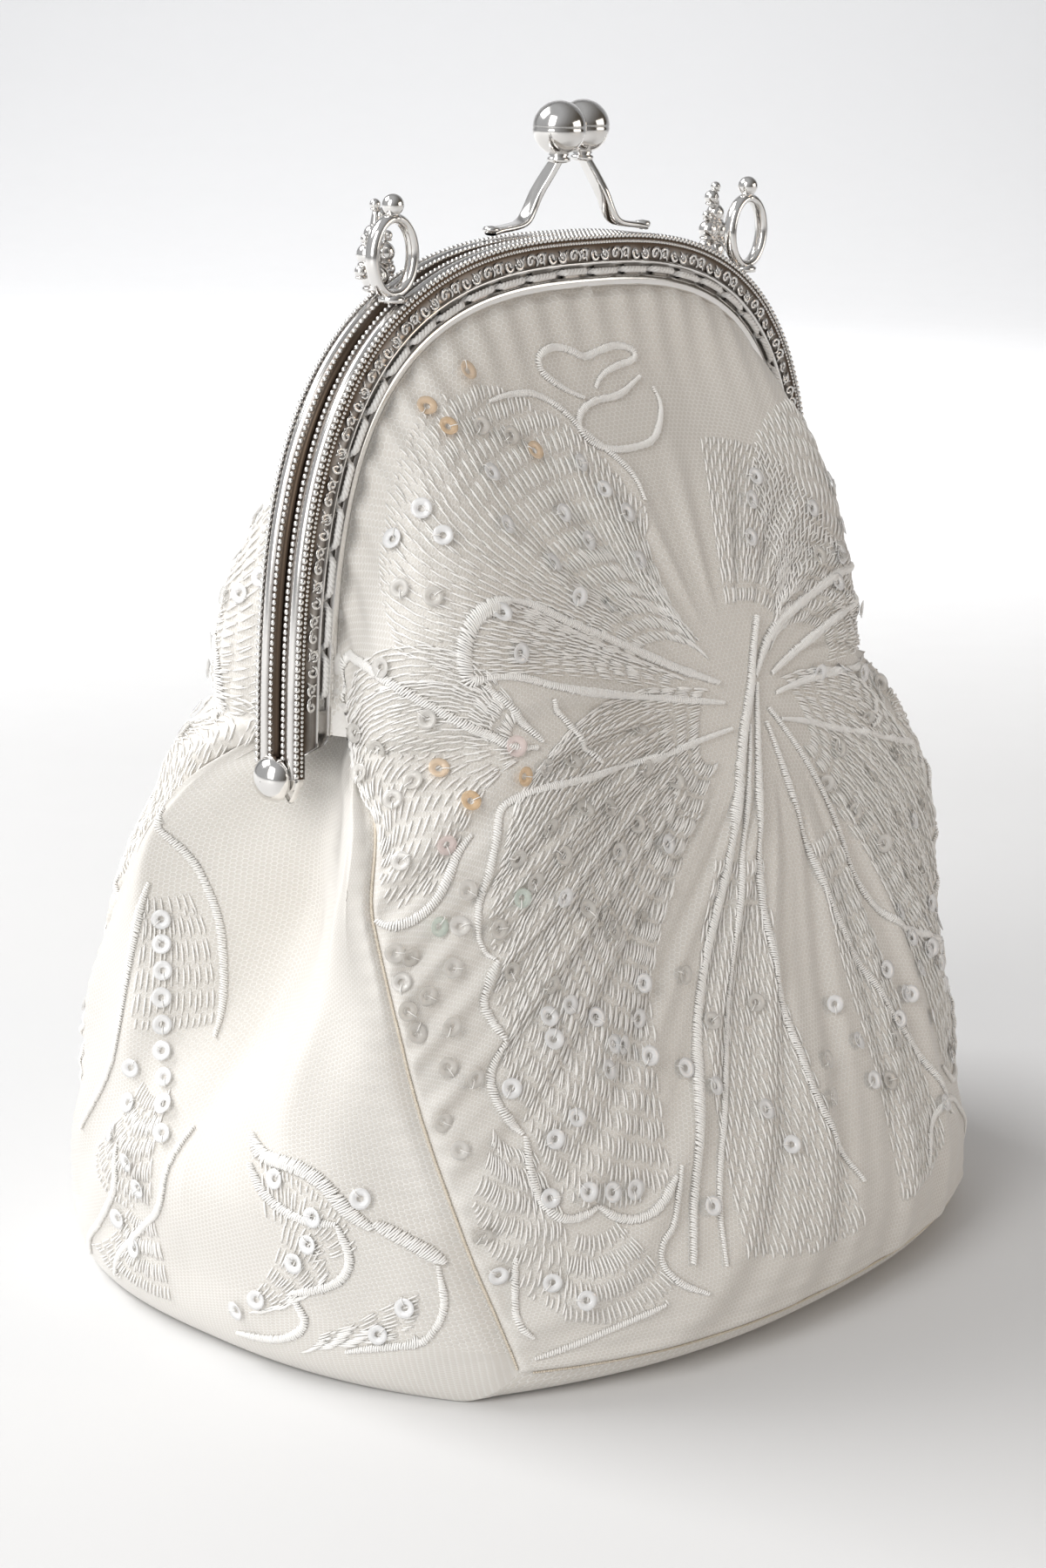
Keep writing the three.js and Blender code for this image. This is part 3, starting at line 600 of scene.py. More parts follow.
def satin_material(name, net, tint):
    """Bridal satin; net adds the hexagonal tulle that carries the embroidery."""
    n = Nodes(name)
    cloth = n.attribute("cloth", "Vector")
    cell = 0.72
    hexagon = n.vector("SCALE", cloth)
    hexagon.node.inputs["Scale"].default_value = 1 / cell
    root3 = math.sqrt(3)

    def nearest(offset):
        moved = n.vector("ADD", hexagon, (offset, offset * root3, 0))
        return n.vector("WRAP", moved, (0.5, root3 / 2, 1), (-0.5, -root3 / 2, -1))

    a, b = nearest(0.0), nearest(0.5)
    near = n.math("LESS_THAN", n.vector("DOT_PRODUCT", a, a), n.vector("DOT_PRODUCT", b, b))
    pick = n.new("ShaderNodeMix", data_type="VECTOR")
    n.put(pick.inputs["Factor"], near)
    n.put(pick.inputs[4], b)
    n.put(pick.inputs[5], a)
    corner = n.vector("ABSOLUTE", pick.outputs[1])
    slant = n.vector("DOT_PRODUCT", corner, (0.5, root3 / 2, 0))
    across = n.new("ShaderNodeSeparateXYZ")
    n.put(across.inputs[0], corner)
    edge = n.math("MAXIMUM", slant, across.outputs["X"])
    thread = n.ramp(edge, 0.36, 0.47)
    twill = n.new("ShaderNodeTexWave", bands_direction="DIAGONAL")
    n.put(twill.inputs["Vector"], cloth)
    twill.inputs["Scale"].default_value = 1.4
    twill.inputs["Distortion"].default_value = 0.6
    blotch = n.noise(cloth, 0.06, 3.0)
    slub = n.noise(n.vector("MULTIPLY", cloth, (0.25, 4.0, 1.0)), 1.0, 2.0)
    dark = tuple(c * 0.93 for c in tint[:3]) + (1,)
    base = n.mix(n.math("MULTIPLY_ADD", blotch, 0.7, n.math("MULTIPLY", slub, 0.25)), tint, dark)
    if net:
        base = n.mix(n.math("MULTIPLY", thread, 0.7), tuple(c * 0.88 for c in tint[:3]) + (1,),
                     (0.97, 0.96, 0.94, 1))
        base = n.mix(n.math("MULTIPLY", blotch, 0.5), base, dark)
    n.set(Base_Color=base)
    n.set(Roughness=n.math("MULTIPLY_ADD", thread, 0.22 if net else 0.0, 0.42))
    fine = n.bump(n.math("ADD", twill.outputs["Fac"], slub), 0.1, 0.0003)
    n.set(Normal=n.bump(thread, 0.35, 0.00025, fine) if net else fine)
    n.set(Sheen_Weight=0.35, Sheen_Roughness=0.4, Specular_IOR_Level=0.45)
    return n.material


def thread_material(name, light, dark, sheen):
    """Twisted embroidery floss; tone varies it from stitch to stitch."""
    n = Nodes(name)
    place = object_position(n)
    tone = n.attribute("tone")
    ply = n.noise(n.vector("MULTIPLY", place, (2600.0, 2600.0, 2600.0)), 1.0, 2.0)
    n.set(Base_Color=n.mix(n.math("MULTIPLY_ADD", ply, 0.5, n.math("MULTIPLY", tone, 0.6)), light, dark))
    n.set(Roughness=n.math("MULTIPLY_ADD", ply, 0.2, 0.3))
    n.set(Normal=n.bump(ply, 0.3, 0.0002))
    n.set(Sheen_Weight=sheen, Specular_IOR_Level=0.6)
    return n.material


def sequin_material(name, colour, alpha):
    """Thin glossy plastic that shows the cloth through it."""
    n = Nodes(name)
    place = object_position(n)
    tone = n.attribute("tone")
    haze = n.noise(place, 500.0, 2.0)
    pale = tuple(0.5 + 0.5 * c for c in colour[:3]) + (1,)
    n.set(Base_Color=n.mix(n.math("MULTIPLY_ADD", haze, 0.3, n.math("MULTIPLY", tone, 0.6)), colour, pale))
    n.set(Roughness=n.math("MULTIPLY_ADD", haze, 0.12, 0.06), Alpha=alpha)
    n.set(Normal=n.bump(haze, 0.1, 0.0002))
    n.set(Coat_Weight=0.6, Coat_Roughness=0.08)
    return n.material


CHROME = chrome_material()
SATIN = satin_material("tulle_over_satin", True, (0.79, 0.755, 0.70, 1))
LINING = satin_material("lining_satin", False, (0.84, 0.82, 0.785, 1))
FLOSS = thread_material("embroidery_floss", (0.99, 0.98, 0.955, 1), (0.94, 0.92, 0.885, 1), 0.4)
# The seam thread's tan is partly painted shade of the gap along the seams.
SEAM = thread_material("seam_thread", (0.80, 0.73, 0.62, 1), (0.66, 0.58, 0.46, 1), 0.2)
SEWING = thread_material("sewing_thread", (0.9, 0.89, 0.87, 1), (0.72, 0.7, 0.67, 1), 0.2)
SEQUINS = {
    "clear": sequin_material("clear_sequin", (0.72, 0.69, 0.64, 1), 0.55),
    "white": sequin_material("white_sequin", (0.97, 0.97, 0.97, 1), 0.75),
    # Amber, pink and green are clear sequins with their iridescent flashes painted in as a fixed colour.
    "amber": sequin_material("amber_sequin", (0.86, 0.60, 0.33, 1), 0.62),
    "pink": sequin_material("pink_sequin", (0.90, 0.72, 0.68, 1), 0.55),
    "green": sequin_material("green_sequin", (0.70, 0.80, 0.72, 1), 0.5),
}

# ---------------------------------------------------------------- metal frame
LEG_END_ANGLE = math.radians(50)
BEAD_PITCH, FINE_BEAD_PITCH = 0.98, 0.66
FLANGE_FACE_Y, FLANGE_BACK_Y = 4.12, 3.72
RIM_END = 0.3
ROW_STEP = 0.75
TONGUE_WIDTH, TONGUE_BEFORE, TONGUE_ROUND = 1.75, 2.5, 3.4
SLOT_FRONT, SLOT_BACK = STITCH_LINE - SLOT_WIDTH / 2, STITCH_LINE + SLOT_WIDTH / 2
SCROLL_PITCH = 5.0
LEG_MIDDLE_Y = 2.4
FOOT_Y = 2.2
EYE_HALF_WIDTH, EYE_HALF_HEIGHT = 4.2, 5.4
EYE_POINTS, EYE_SIDES = 44, 12


def rim_section():
    """Closed outline of a half, as (inside, out from the mating plane, darkness of painted shade and tarnish)."""
    # Darkness is painted shade and tarnish: most at the lip where the halves meet, in the relief's hollows and on the
    # back under the flange, least on the raised edges.
    lip = [(1.5, 0.2, 1.0), (0.95, 0.2, 1.0), (0.85, 0.55, 1.0), (0.62, 0.82, 0.9), (0.5, 0.95, 0.9)]
    bed = [(0.5, 1.65, 0.9), (0.42, 1.8, 0.7)]
    band = [(0.12 + 0.42 * q * q, 2.72 + 0.88 * q, 0.2 + 0.6 * q * q) for q in np.linspace(-1, 1, 9)]
    corner = [(0.62, 3.7, 0.8), (0.62, 4.05, 0.9), (1.0, 4.12, 0.95), (1.2, 4.15, 0.95), (1.7, 4.12, 1.0)]
    relief = [(1.9, 4.15, 0.85), (3.0, 4.18, 0.6), (4.1, 4.15, 0.8), (4.25, 4.4, 0.2), (4.5, 4.42, 0.05)]
    trough = [(4.72, 4.2, 0.5), (SLOT_FRONT, FLANGE_FACE_Y, 0.6), (SLOT_BACK, FLANGE_FACE_Y, 0.6),
              (6.5, 4.2, 0.5)]
    edge = [(6.7, 4.42, 0.0), (7.2, 4.44, 0.0), (7.7, 4.42, 0.1), (8.1, 4.25, 0.2), (FLANGE_WIDTH, 4.0, 0.3)]
    back = [(8.05, 3.75, 0.5), (SLOT_BACK, FLANGE_BACK_Y, 0.7), (SLOT_FRONT, FLANGE_BACK_Y, 0.7),
            (1.6, 3.6, 0.8), (1.5, 3.4, 0.9)]
    return lip + bed + band + corner + relief + trough + edge + back


def slot_rows(start, end):
    """Distances along the arch: even steps with a row at each end of every slot."""
    marks = [start, end]
    for i in range(STITCH_COUNT + 1):
        centre = STITCH_START + i * STITCH_PITCH
        marks += [centre - SLOT_LENGTH / 2, centre + SLOT_LENGTH / 2]
    marks = sorted(m for m in marks if start <= m <= end)
    rows = []
    for a, b in zip(marks[:-1], marks[1:]):
        steps = max(int(round((b - a) / ROW_STEP)), 1)
        rows += [a + (b - a) * i / steps for i in range(steps)]
    return np.array(rows + [end])


def swept_half(bundle, side):
    """The channel of one half with its open stitch slots."""
    inside, depth, dark = np.array(rim_section()).T
    columns = len(inside)
    rows = slot_rows(RIM_END, ARCH_TOTAL - RIM_END)
    to_end = np.minimum(rows, ARCH_TOTAL - rows)
    # The flange stops in a round tongue above each hinge.
    into = np.clip((to_end - (FLANGE_START - TONGUE_BEFORE)) / TONGUE_ROUND, 0, 1)
    width = TONGUE_WIDTH + (FLANGE_WIDTH - TONGUE_WIDTH) * np.sqrt(1 - (1 - into) ** 2)
    shape = np.minimum(inside[None, :], width[:, None])
    points = frame_point(np.repeat(rows, columns), shape.ravel(), np.tile(side * depth, len(rows)))
    front_column = int(np.argmin(np.abs(inside - SLOT_FRONT) + np.abs(depth - FLANGE_FACE_Y)))
    back_column = int(np.argmin(np.abs(inside - SLOT_BACK) + np.abs(depth - FLANGE_BACK_Y)))
    open_rows = set()
    for i in range(STITCH_COUNT + 1):
        from_centre = rows + 1e-6 - (STITCH_START + i * STITCH_PITCH)
        in_slot = (from_centre > -SLOT_LENGTH / 2) & (from_centre < SLOT_LENGTH / 2)
        open_rows.update(np.where(in_slot)[0].tolist())
    quads = []
    for r in range(len(rows) - 1):
        for c in range(columns):
            if r in open_rows and c in (front_column, back_column):
                continue
            nxt = (c + 1) % columns
            a, b = r * columns + c, r * columns + nxt
            quads.append([a, b, b + columns, a + columns])
        if r in open_rows:
            for c, other in ((front_column, back_column + 1), (front_column + 1, back_column)):
                a, b = r * columns + c, r * columns + other
                quads.append([a, a + columns, b + columns, b])
            for edge_row in [r] * (r - 1 not in open_rows) + [r + 1] * (r + 1 not in open_rows):
                a = edge_row * columns
                quads.append([a + front_column, a + front_column + 1, a + back_column, a + back_column + 1])
    # Each row carries the section's painted shade and tarnish as tone.
    bundle.add(points, quads, np.tile(dark, len(rows)))


def leg_ends(bundle, side):
    """The rim's rounded foot beside each hinge: a sector of plate that clears the other half as it turns."""
    for end in (-1, 1):
        turn = np.linspace(0, LEG_END_ANGLE, 8)
        arc = [(FRAME_DEPTH * math.cos(a), -FRAME_DEPTH * math.sin(a)) for a in turn]
        outline = [(MATE_GAP, 0.0), (MATE_GAP, 0.4), (FRAME_DEPTH, 0.4)] + arc
        layers = [(0.95, 1.0), (0.3, 1.0), (0.0, 0.9)]
        points = []
        for depth, scale in layers:
            for y, z in outline:
                shrunk_y = LEG_MIDDLE_Y + (y - LEG_MIDDLE_Y) * scale
                points.append((end * (ARCH_HALF_WIDTH - depth), side * shrunk_y, HINGE_Z + z * scale))
        count = len(outline)
        quads = grid_faces(len(layers), count, wrap=True).tolist()
        for start in (0, (len(layers) - 1) * count):
            quads += fan(start, count)
        bundle.add(points, quads, 0.15)


def bead_row(bundle, side, inside, y, radius, start, pitch):
    """Beads cast along the rim, from start to the same distance before its other end."""
    end = ARCH_TOTAL - start
    count = int((end - start) / pitch)
    d = start + (end - start) * (np.arange(count) + 0.5) / count
    centres = frame_point(d, inside, side * y)
    bundle.add(centres[:, None, :] + BALL[None] * radius, BALL_QUADS, 0.0)


def scroll_relief(bundle, side):
    """Cast scrollwork between the beads and the stitch line: paired spirals and small leaves."""
    start, end = FLANGE_START + 3.0, ARCH_TOTAL - FLANGE_START - 3.0
    count = int((end - start) / SCROLL_PITCH)
    t = np.linspace(0, 1, 16)
    curl = 2.4 * math.pi * t
    reach = 1.02 * (1 - 0.78 * t)
    spirals, leaves = [], []
    for i in range(count):
        centre = start + (end - start) * (i + 0.5) / count
        flip = 1 if i % 2 else -1
        for way in (-1, 1):
            along = centre + way * (1.25 - reach * np.cos(curl) * 0.9)
            depth = 3.05 + flip * (reach * np.sin(curl))
            spirals.append(frame_point(along, depth, side * (4.3 + 0.12 * np.sin(curl))))
        k = np.linspace(0, 1, 7)
        leaves.append(frame_point(centre + flip * 0.5 + 0.9 * np.sin(2.4 * k), 2.2 + 1.8 * k, side * 4.34))
        between = centre + SCROLL_PITCH / 2
        leaves.append(frame_point(between - 0.7 * np.sin(2.6 * k), 2.1 + 2.0 * k, side * 4.32))
    bundle.add(*tubes(spirals, 0.29), 0.1)
    bundle.add(*tubes(leaves, 0.2), 0.25)


def cast(bundle, name, node, body, material=CHROME, slot="frame_metal"):
    """Builds a piece in the place of its CAD node, riding on a body."""
    obj = bundle.build(name, material)
    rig.replaces(obj, node)
    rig.slot(obj, slot)
    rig.ride(obj, body)


def frame_half(side):
    """One half: channel, leg ends, beaded edges and scrollwork."""
    bundle = Bundle()
    swept_half(bundle, side)
    leg_ends(bundle, side)
    bead_row(bundle, side, 0.45, 1.3, 0.42, 0.6, BEAD_PITCH)
    bead_row(bundle, side, 0.42, 3.98, 0.44, 0.4, BEAD_PITCH)
    bead_row(bundle, side, 1.32, 4.14, 0.28, 0.6, FINE_BEAD_PITCH)
    scroll_relief(bundle, side)
    name = HALVES[side]
    cast(bundle, f"{name}_frame_cast", f"{name}_frame", f"{name}_half")


def lathe(outline, columns, axis, centre):
    """Points and quads of an outline [(radius, height)] turned about an axis direction through centre."""
    axis = np.array(axis, float)
    side = np.cross(axis, (0, 1, 0) if abs(axis[1]) < 0.9 else (1, 0, 0))
    side /= np.linalg.norm(side)
    other = np.cross(axis, side)
    turn = 2 * math.pi * np.arange(columns) / columns
    points = [np.array(centre) + h * axis + r * (math.cos(a) * side + math.sin(a) * other)
              for r, h in outline for a in turn]
    return np.array(points), grid_faces(len(outline), columns, wrap=True)


def hinge(end):
    """Domed rivet head outside the leg with its shank and peened inner end."""
    name = "left" if end < 0 else "right"
    low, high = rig.box(f"{name}_hinge_rivet")
    tip = max(abs(low.x), abs(high.x)) / MM
    inner = min(abs(low.x), abs(high.x)) / MM
    radius = (high.z - low.z) / MM / 2
    head = ARCH_HALF_WIDTH + 0.25
    rise = tip - head
    turn = np.linspace(0.22, math.pi / 2 - 0.02, 14)
    dome = [(radius * math.cos(a), head + rise * math.sin(a)) for a in turn]
    outline = [(0.05, inner), (1.5, inner), (1.9, inner + 0.5), (1.05, inner + 0.9), (1.05, head - 0.3),
               (radius * 0.9, head - 0.3), (radius, head), (radius, head + 0.25)] + dome
    bundle = Bundle()
    bundle.add(*lathe(outline, 40, (end, 0, 0), (0, 0, HINGE_Z)), 0.0)
    cast(bundle, f"{name}_hinge_dome", f"{name}_hinge_rivet", "bag_body")


def rounded_strip(stations, columns=12):
    """A bar with an oval section through [(x, y, z, half width along Y, half thickness)]."""
    s = np.array(stations, float)
    t = np.arange(len(s))
    fine = np.linspace(0, len(s) - 1, (len(s) - 1) * 6 + 1)
    path = np.stack([np.interp(fine, t, s[:, i]) for i in range(5)], 1)
    for _ in range(6):
        path[1:-1] = (path[:-2] + 2 * path[1:-1] + path[2:]) / 4
    along = np.gradient(path[:, :3], axis=0)
    along /= np.linalg.norm(along, axis=1, keepdims=True)
    wide = np.cross(along, np.cross((0, 1, 0), along))
    wide /= np.linalg.norm(wide, axis=1, keepdims=True)
    thick = np.cross(along, wide)
    turn = 2 * math.pi * np.arange(columns) / columns
    square = lambda v: np.sign(v) * np.abs(v) ** 0.6
    points = (path[:, None, :3] + square(np.cos(turn))[None, :, None] * wide[:, None] * path[:, None, 3:4]
              + square(np.sin(turn))[None, :, None] * thick[:, None] * path[:, None, 4:5])
    quads = grid_faces(len(path), columns, wrap=True).tolist()
    for start in (0, (len(path) - 1) * columns):
        quads += fan(start, columns)
    return points.reshape(-1, 3), quads


def clasp(side):
    """Foot, swan-neck arm with a collar, and the ball of the crossed clasp."""
    name = HALVES[side]
    low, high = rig.box(f"{name}_clasp_ball")
    centre = (low + high) / 2 / MM
    radius = (high.z - low.z) / MM / 2
    crest = HINGE_Z + ARCH_RISE
    x = -side * np.array([15.6, 14.2, 11.5, 9.0, 7.6, 6.6, 5.9, 5.3, 4.9, 4.4, 4.25])
    y = side * np.array([FOOT_Y] * 5 + [2.1, 1.7, 0.9, 0.0, -0.9, -1.25])
    z = crest + np.array([0.35, 0.75, 0.95, 1.3, 2.1, 3.8, 5.8, 7.6, 9.2, 10.9, 12.0])
    half_width = [1.2, 1.5, 1.5, 1.45, 1.35, 1.3, 1.25, 1.2, 1.15, 1.0, 0.9]
    half_thick = [0.45, 0.5, 0.5, 0.5, 0.55, 0.6, 0.6, 0.6, 0.6, 0.65, 0.7]
    bundle = Bundle()
    bundle.add(*rounded_strip(list(zip(x, y, z, half_width, half_thick))), 0.05)
    toe = lathe([(0.1, -0.5), (1.1, -0.45), (1.35, 0.0), (1.1, 0.45), (0.1, 0.6)], 16, (0, 0, 1),
                (-side * 15.4, side * FOOT_Y, crest + 0.85))
    bundle.add(*toe, 0.1)
    neck = centre.z - radius
    collar = [(0.1, -1.1), (1.2, -1.1), (1.75, -0.8), (1.75, -0.35), (1.25, -0.1), (1.6, 0.15),
              (0.9, 0.5), (0.1, 0.6)]
    bundle.add(*lathe(collar, 24, (0, 0, 1), (centre.x, centre.y, neck)), 0.1)
    cast(bundle, f"{name}_clasp_neck", f"{name}_clasp_arm", f"{name}_half")
    ball = Bundle()
    outline = [(radius * math.sin(a), -radius * math.cos(a)) for a in np.linspace(0.03, math.pi - 0.03, 34)]
    groove = [(radius * 1.004, -0.25), (radius * 0.985, 0.0), (radius * 1.004, 0.25)]
    outline = outline[:15] + groove + outline[19:]
    ball.add(*lathe(outline, 56, (0, 0, 1), tuple(centre)), 0.0)
    cast(ball, f"{name}_clasp_bead", f"{name}_clasp_ball", f"{name}_half")


def ear_loop(end):
    """Cast eye with a ball finial and a beaded collar."""
    name = "left" if end < 0 else "right"
    low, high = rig.box(f"{name}_ear_loop")
    centre = np.array([(low.x + high.x) / 2 / MM, (low.y + high.y) / 2 / MM, low.z / MM + 6.05])
    bundle = Bundle()
    a = np.linspace(0, 2 * math.pi, EYE_POINTS + 1)[:-1]
    ring = centre + np.stack([EYE_HALF_WIDTH * np.cos(a), 0 * a, EYE_HALF_HEIGHT * np.sin(a)], -1)
    out = (ring - centre) / np.linalg.norm(ring - centre, axis=1, keepdims=True)
    turn = 2 * math.pi * np.arange(EYE_SIDES) / EYE_SIDES
    section = (np.cos(turn)[None, :, None] * out[:, None] * 0.78
               + np.sin(turn)[None, :, None] * np.array([0, 1.15, 0]))
    points = (ring[:, None] + section).reshape(-1, 3)
    # The last row of points is the first one again.
    quads = grid_faces(EYE_POINTS + 1, EYE_SIDES, wrap=True) % len(points)
    bundle.add(points, quads, 0.05)
    top = centre + np.array([0, 0, 5.5])
    finial = [(0.1, -0.6), (1.2, -0.4), (1.35, 0.0), (1.0, 0.35)]
    finial += [(1.6 * math.sin(b), 1.75 - 1.6 * math.cos(b)) for b in np.linspace(0.6, math.pi - 0.03, 16)]
    bundle.add(*lathe(finial, 28, (0, 0, 1), top), 0.0)
    foot = [(0.1, -0.9), (1.9, -0.9), (2.0, -0.2), (1.2, 0.3), (0.1, 0.4)]
    bundle.add(*lathe(foot, 20, (0, 0, 1), centre - np.array([0, 0, 5.6])), 0.15)
    cast(bundle, f"{name}_ear_eye", f"{name}_ear_loop", "front_half")


CREST_BALLS = [
    (0, 0, 2.1), (1.4, 3.2, 1.7), (-1.6, 3.4, 1.6), (0.4, 6, 1.5), (-0.9, 8.6, 1.2), (2.6, 0.8, 1.0),
    (-2.5, 1.0, 1.0), (0.2, 10.3, 0.8), (1.8, 5.4, 0.8), (-2.2, 5.8, 0.75),
]


def ear_crest(end):
    """Cluster of cast berries on a fluted spine, behind the eye."""
    name = "left" if end < 0 else "right"
    low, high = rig.box(f"{name}_ear_crest")
    base = np.array([(low.x + high.x) / 2 / MM, (low.y + high.y) / 2 / MM, low.z / MM + 2.2])
    bundle = Bundle()
    fine, fine_quads = ball_template(18, 12)
    flattened = fine * np.array([0.9, 0.9, 0.3])
    for dx, dz, radius in CREST_BALLS:
        bundle.add(base + np.array([end * dx, 0.12 * dx, dz]) + fine * radius, fine_quads, 0.0)
        # Each berry's flattened seat under it takes more of the plate's painted shade.
        seat = base + np.array([end * dx, 0.12 * dx, dz - radius * 0.85])
        bundle.add(seat + flattened * radius, fine_quads, 0.35)
    spine = [(0.1, 0.2), (1.1, 0.4), (0.8, 3.0), (1.0, 4.5), (0.7, 6.5), (0.85, 7.5), (0.5, 9.5), (0.1, 9.8)]
    bundle.add(*lathe(spine, 16, (0, 0, 1), base), 0.3)
    cast(bundle, f"{name}_ear_berries", f"{name}_ear_crest", "rear_half")


def twisted(paths, radius, plies, turns_per_mm):
    """Plies wound round each path: (m * plies, k, 3)."""
    paths = np.asarray(paths, float)
    along = np.gradient(paths, axis=1)
    length = np.concatenate([np.zeros((len(paths), 1)),
                             np.cumsum(np.linalg.norm(np.diff(paths, axis=1), axis=2), axis=1)], 1)
    along /= np.linalg.norm(along, axis=-1, keepdims=True)
    side = np.cross(along, (0.03, 1.0, 0.05))
    side /= np.linalg.norm(side, axis=-1, keepdims=True)
    up = np.cross(side, along)
    out = []
    for ply in range(plies):
        turn = 2 * math.pi * (length * turns_per_mm + ply / plies)
        out.append(paths + radius * (np.cos(turn)[..., None] * side + np.sin(turn)[..., None] * up))
    return np.concatenate(out)


def frame_stitches(side):
    """Running stitches of twisted thread that hold the cloth to the flange."""
    name = HALVES[side]
    paths = []
    k = np.linspace(0, 1, 22)
    for i in range(STITCH_COUNT):
        d = STITCH_START + (i + k) * STITCH_PITCH
        dip = 1 - smooth(np.minimum(k, 1 - k) * STITCH_PITCH, 0.15, 1.5)
        wander = 0.12 * math.sin(2.3 * i)
        paths.append(frame_point(d, STITCH_LINE + wander, side * (4.62 - 1.35 * dip)))
    bundle = Bundle()
    points, quads = tubes(twisted(paths, 0.27, 3, 0.45), 0.3)
    rng = np.random.default_rng(5)
    bundle.add(points, quads, rng.uniform(0, 0.6, len(points)))
    cast(bundle, f"{name}_frame_stitches", f"{name}_sewing_thread", f"{name}_half", SEWING, "sewing_thread")


def hinge_lugs():
    """The CAD lugs inside the legs keep their shape and take the plated finish."""
    for half in HALVES.values():
        for end in ("left", "right"):
            materials = bpy.data.objects[f"{half}_{end}_hinge_lug"].data.materials
            materials.clear()
            materials.append(CHROME)


# ---------------------------------------------------------------- cloth
GUSSET_TOP_Z = 88.0
CORNER_START, CORNER_END = 0.56, 0.74
CORNER_RISE, CORNER_MIDDLE_X = 3.0, 71.0
BASE_EDGE = 0.84
GUSSET_LOW_Z = 12.0
GUSSET_ROUND = 2.6
PLEAT_CORNER = 0.05
PLEAT_MIDDLE = 0.06
MIN_Z = 0.12
LINING_DEPTH = {"panel": 1.7, "gusset": 1.6}
PANEL_STRETCH = 1.05


def mix(a, b, w):
    return a + (b - a) * w


def stack(x, y, z):
    return np.stack(np.broadcast_arrays(x, y, z), -1)


def gusset_station(t):
    """Seam point and middle point of the strip: down a side, round the corner and half way over the base."""
    k = np.clip(t / CORNER_START, 0, 1)
    z = GUSSET_TOP_Z + (PANEL_BOTTOM_Z + CORNER_RISE - GUSSET_TOP_Z) * k
    middle_z = GUSSET_TOP_Z + (GUSSET_LOW_Z - GUSSET_TOP_Z) * k
    edge = stack(profile(SEAM_HALF_WIDTH, z), profile(SEAM_HALF_DEPTH, z), z)
    middle = stack(profile(GUSSET_MIDDLE, middle_z), 0.0, middle_z)
    k = np.clip((t - CORNER_START) / (CORNER_END - CORNER_START), 0, 1)
    z = PANEL_BOTTOM_Z + CORNER_RISE * (1 - k)
    low_x = GUSSET_MIDDLE[0][1]
    corner_edge = stack(profile(SEAM_HALF_WIDTH, z), profile(SEAM_HALF_DEPTH, z), z)
    corner_middle = stack(CORNER_MIDDLE_X + (low_x - CORNER_MIDDLE_X) * np.cos(k * math.pi / 2), 0.0,
                          GUSSET_LOW_Z * (1 - np.sin(k * math.pi / 2)))
    k = np.clip((t - CORNER_END) / (1 - CORNER_END), 0, 1)
    x = profile(SEAM_HALF_WIDTH, PANEL_BOTTOM_Z) * (1 - k)
    base_edge = stack(x, face_depth(x, PANEL_BOTTOM_Z), PANEL_BOTTOM_Z)
    base_middle = stack(CORNER_MIDDLE_X * (1 - k), 0.0, 0.0)
    corner, base = (t >= CORNER_START)[..., None], (t >= CORNER_END)[..., None]
    edge = np.where(base, base_edge, np.where(corner, corner_edge, edge))
    middle = np.where(base, base_middle, np.where(corner, corner_middle, middle))
    return edge, middle


def soft_corner(d, width):
    """|d| with a rounded corner, equal to |d| at d = +-0.5."""
    return np.sqrt(d * d + width * width) - (math.sqrt(0.25 + width * width) - 0.5)


LEFT_SHOULDER, RIGHT_SHOULDER = 2.5, -2.0


def bare_gusset(u, h, side):
    """Half of the strip.

    u runs from the left top (-1) under the bag (0) to the right top, h from the seam to the middle.
    """
    end = np.where(u < 0, -1.0, 1.0)
    t = 1 - np.abs(u)
    edge, middle = gusset_station(t)
    g = 1 - h
    across = 1 - g ** GUSSET_ROUND
    rise = np.clip((g - BASE_EDGE) / (1 - BASE_EDGE), 0, 1) ** 2
    low = np.clip((t - CORNER_START) / (CORNER_END - CORNER_START), 0, 1)
    down = mix(across, 1 - rise, low)
    x = mix(edge[..., 0], middle[..., 0], across)
    y = edge[..., 1] * g
    z = mix(edge[..., 2], middle[..., 2], down)
    # The pleat under the hinge: out from the seam to a ridge, then in to a valley at the middle.
    ridge_z = mix(edge[..., 2], middle[..., 2], 0.6)
    ridge = stack(profile(RIDGE_X, ridge_z), profile(RIDGE_Y, ridge_z), ridge_z)
    valley = stack(profile(VALLEY_X, middle[..., 2]), 0.0, middle[..., 2])
    into, out = (ridge - edge) / 0.5, (valley - ridge) / 0.5
    flat_h = 1 - (np.hypot(1 - h, PLEAT_MIDDLE) - PLEAT_MIDDLE) / (math.hypot(1, PLEAT_MIDDLE) - PLEAT_MIDDLE)
    d = (h - 0.5)[..., None]
    d_x = (flat_h - 0.5)[..., None]
    folded = ridge + d * (into + out) / 2 + soft_corner(d, PLEAT_CORNER) * (out - into) / 2
    folded_x = ridge + d_x * (into + out) / 2 + soft_corner(d_x, PLEAT_CORNER) * (out - into) / 2
    w = 1 - smooth(t, 0.26, 0.52)
    x = mix(x, folded_x[..., 0], w)
    shoulder = smooth(middle[..., 2], 58, 76) * (1 - smooth(middle[..., 2], 82, 90)) * np.minimum(1, 4 * h)
    x = x + np.where(u < 0, LEFT_SHOULDER, RIGHT_SHOULDER) * shoulder
    y = mix(y, folded[..., 1], w)
    z = mix(z, folded[..., 2], w)
    return np.stack([end * x, side * y, z], -1)


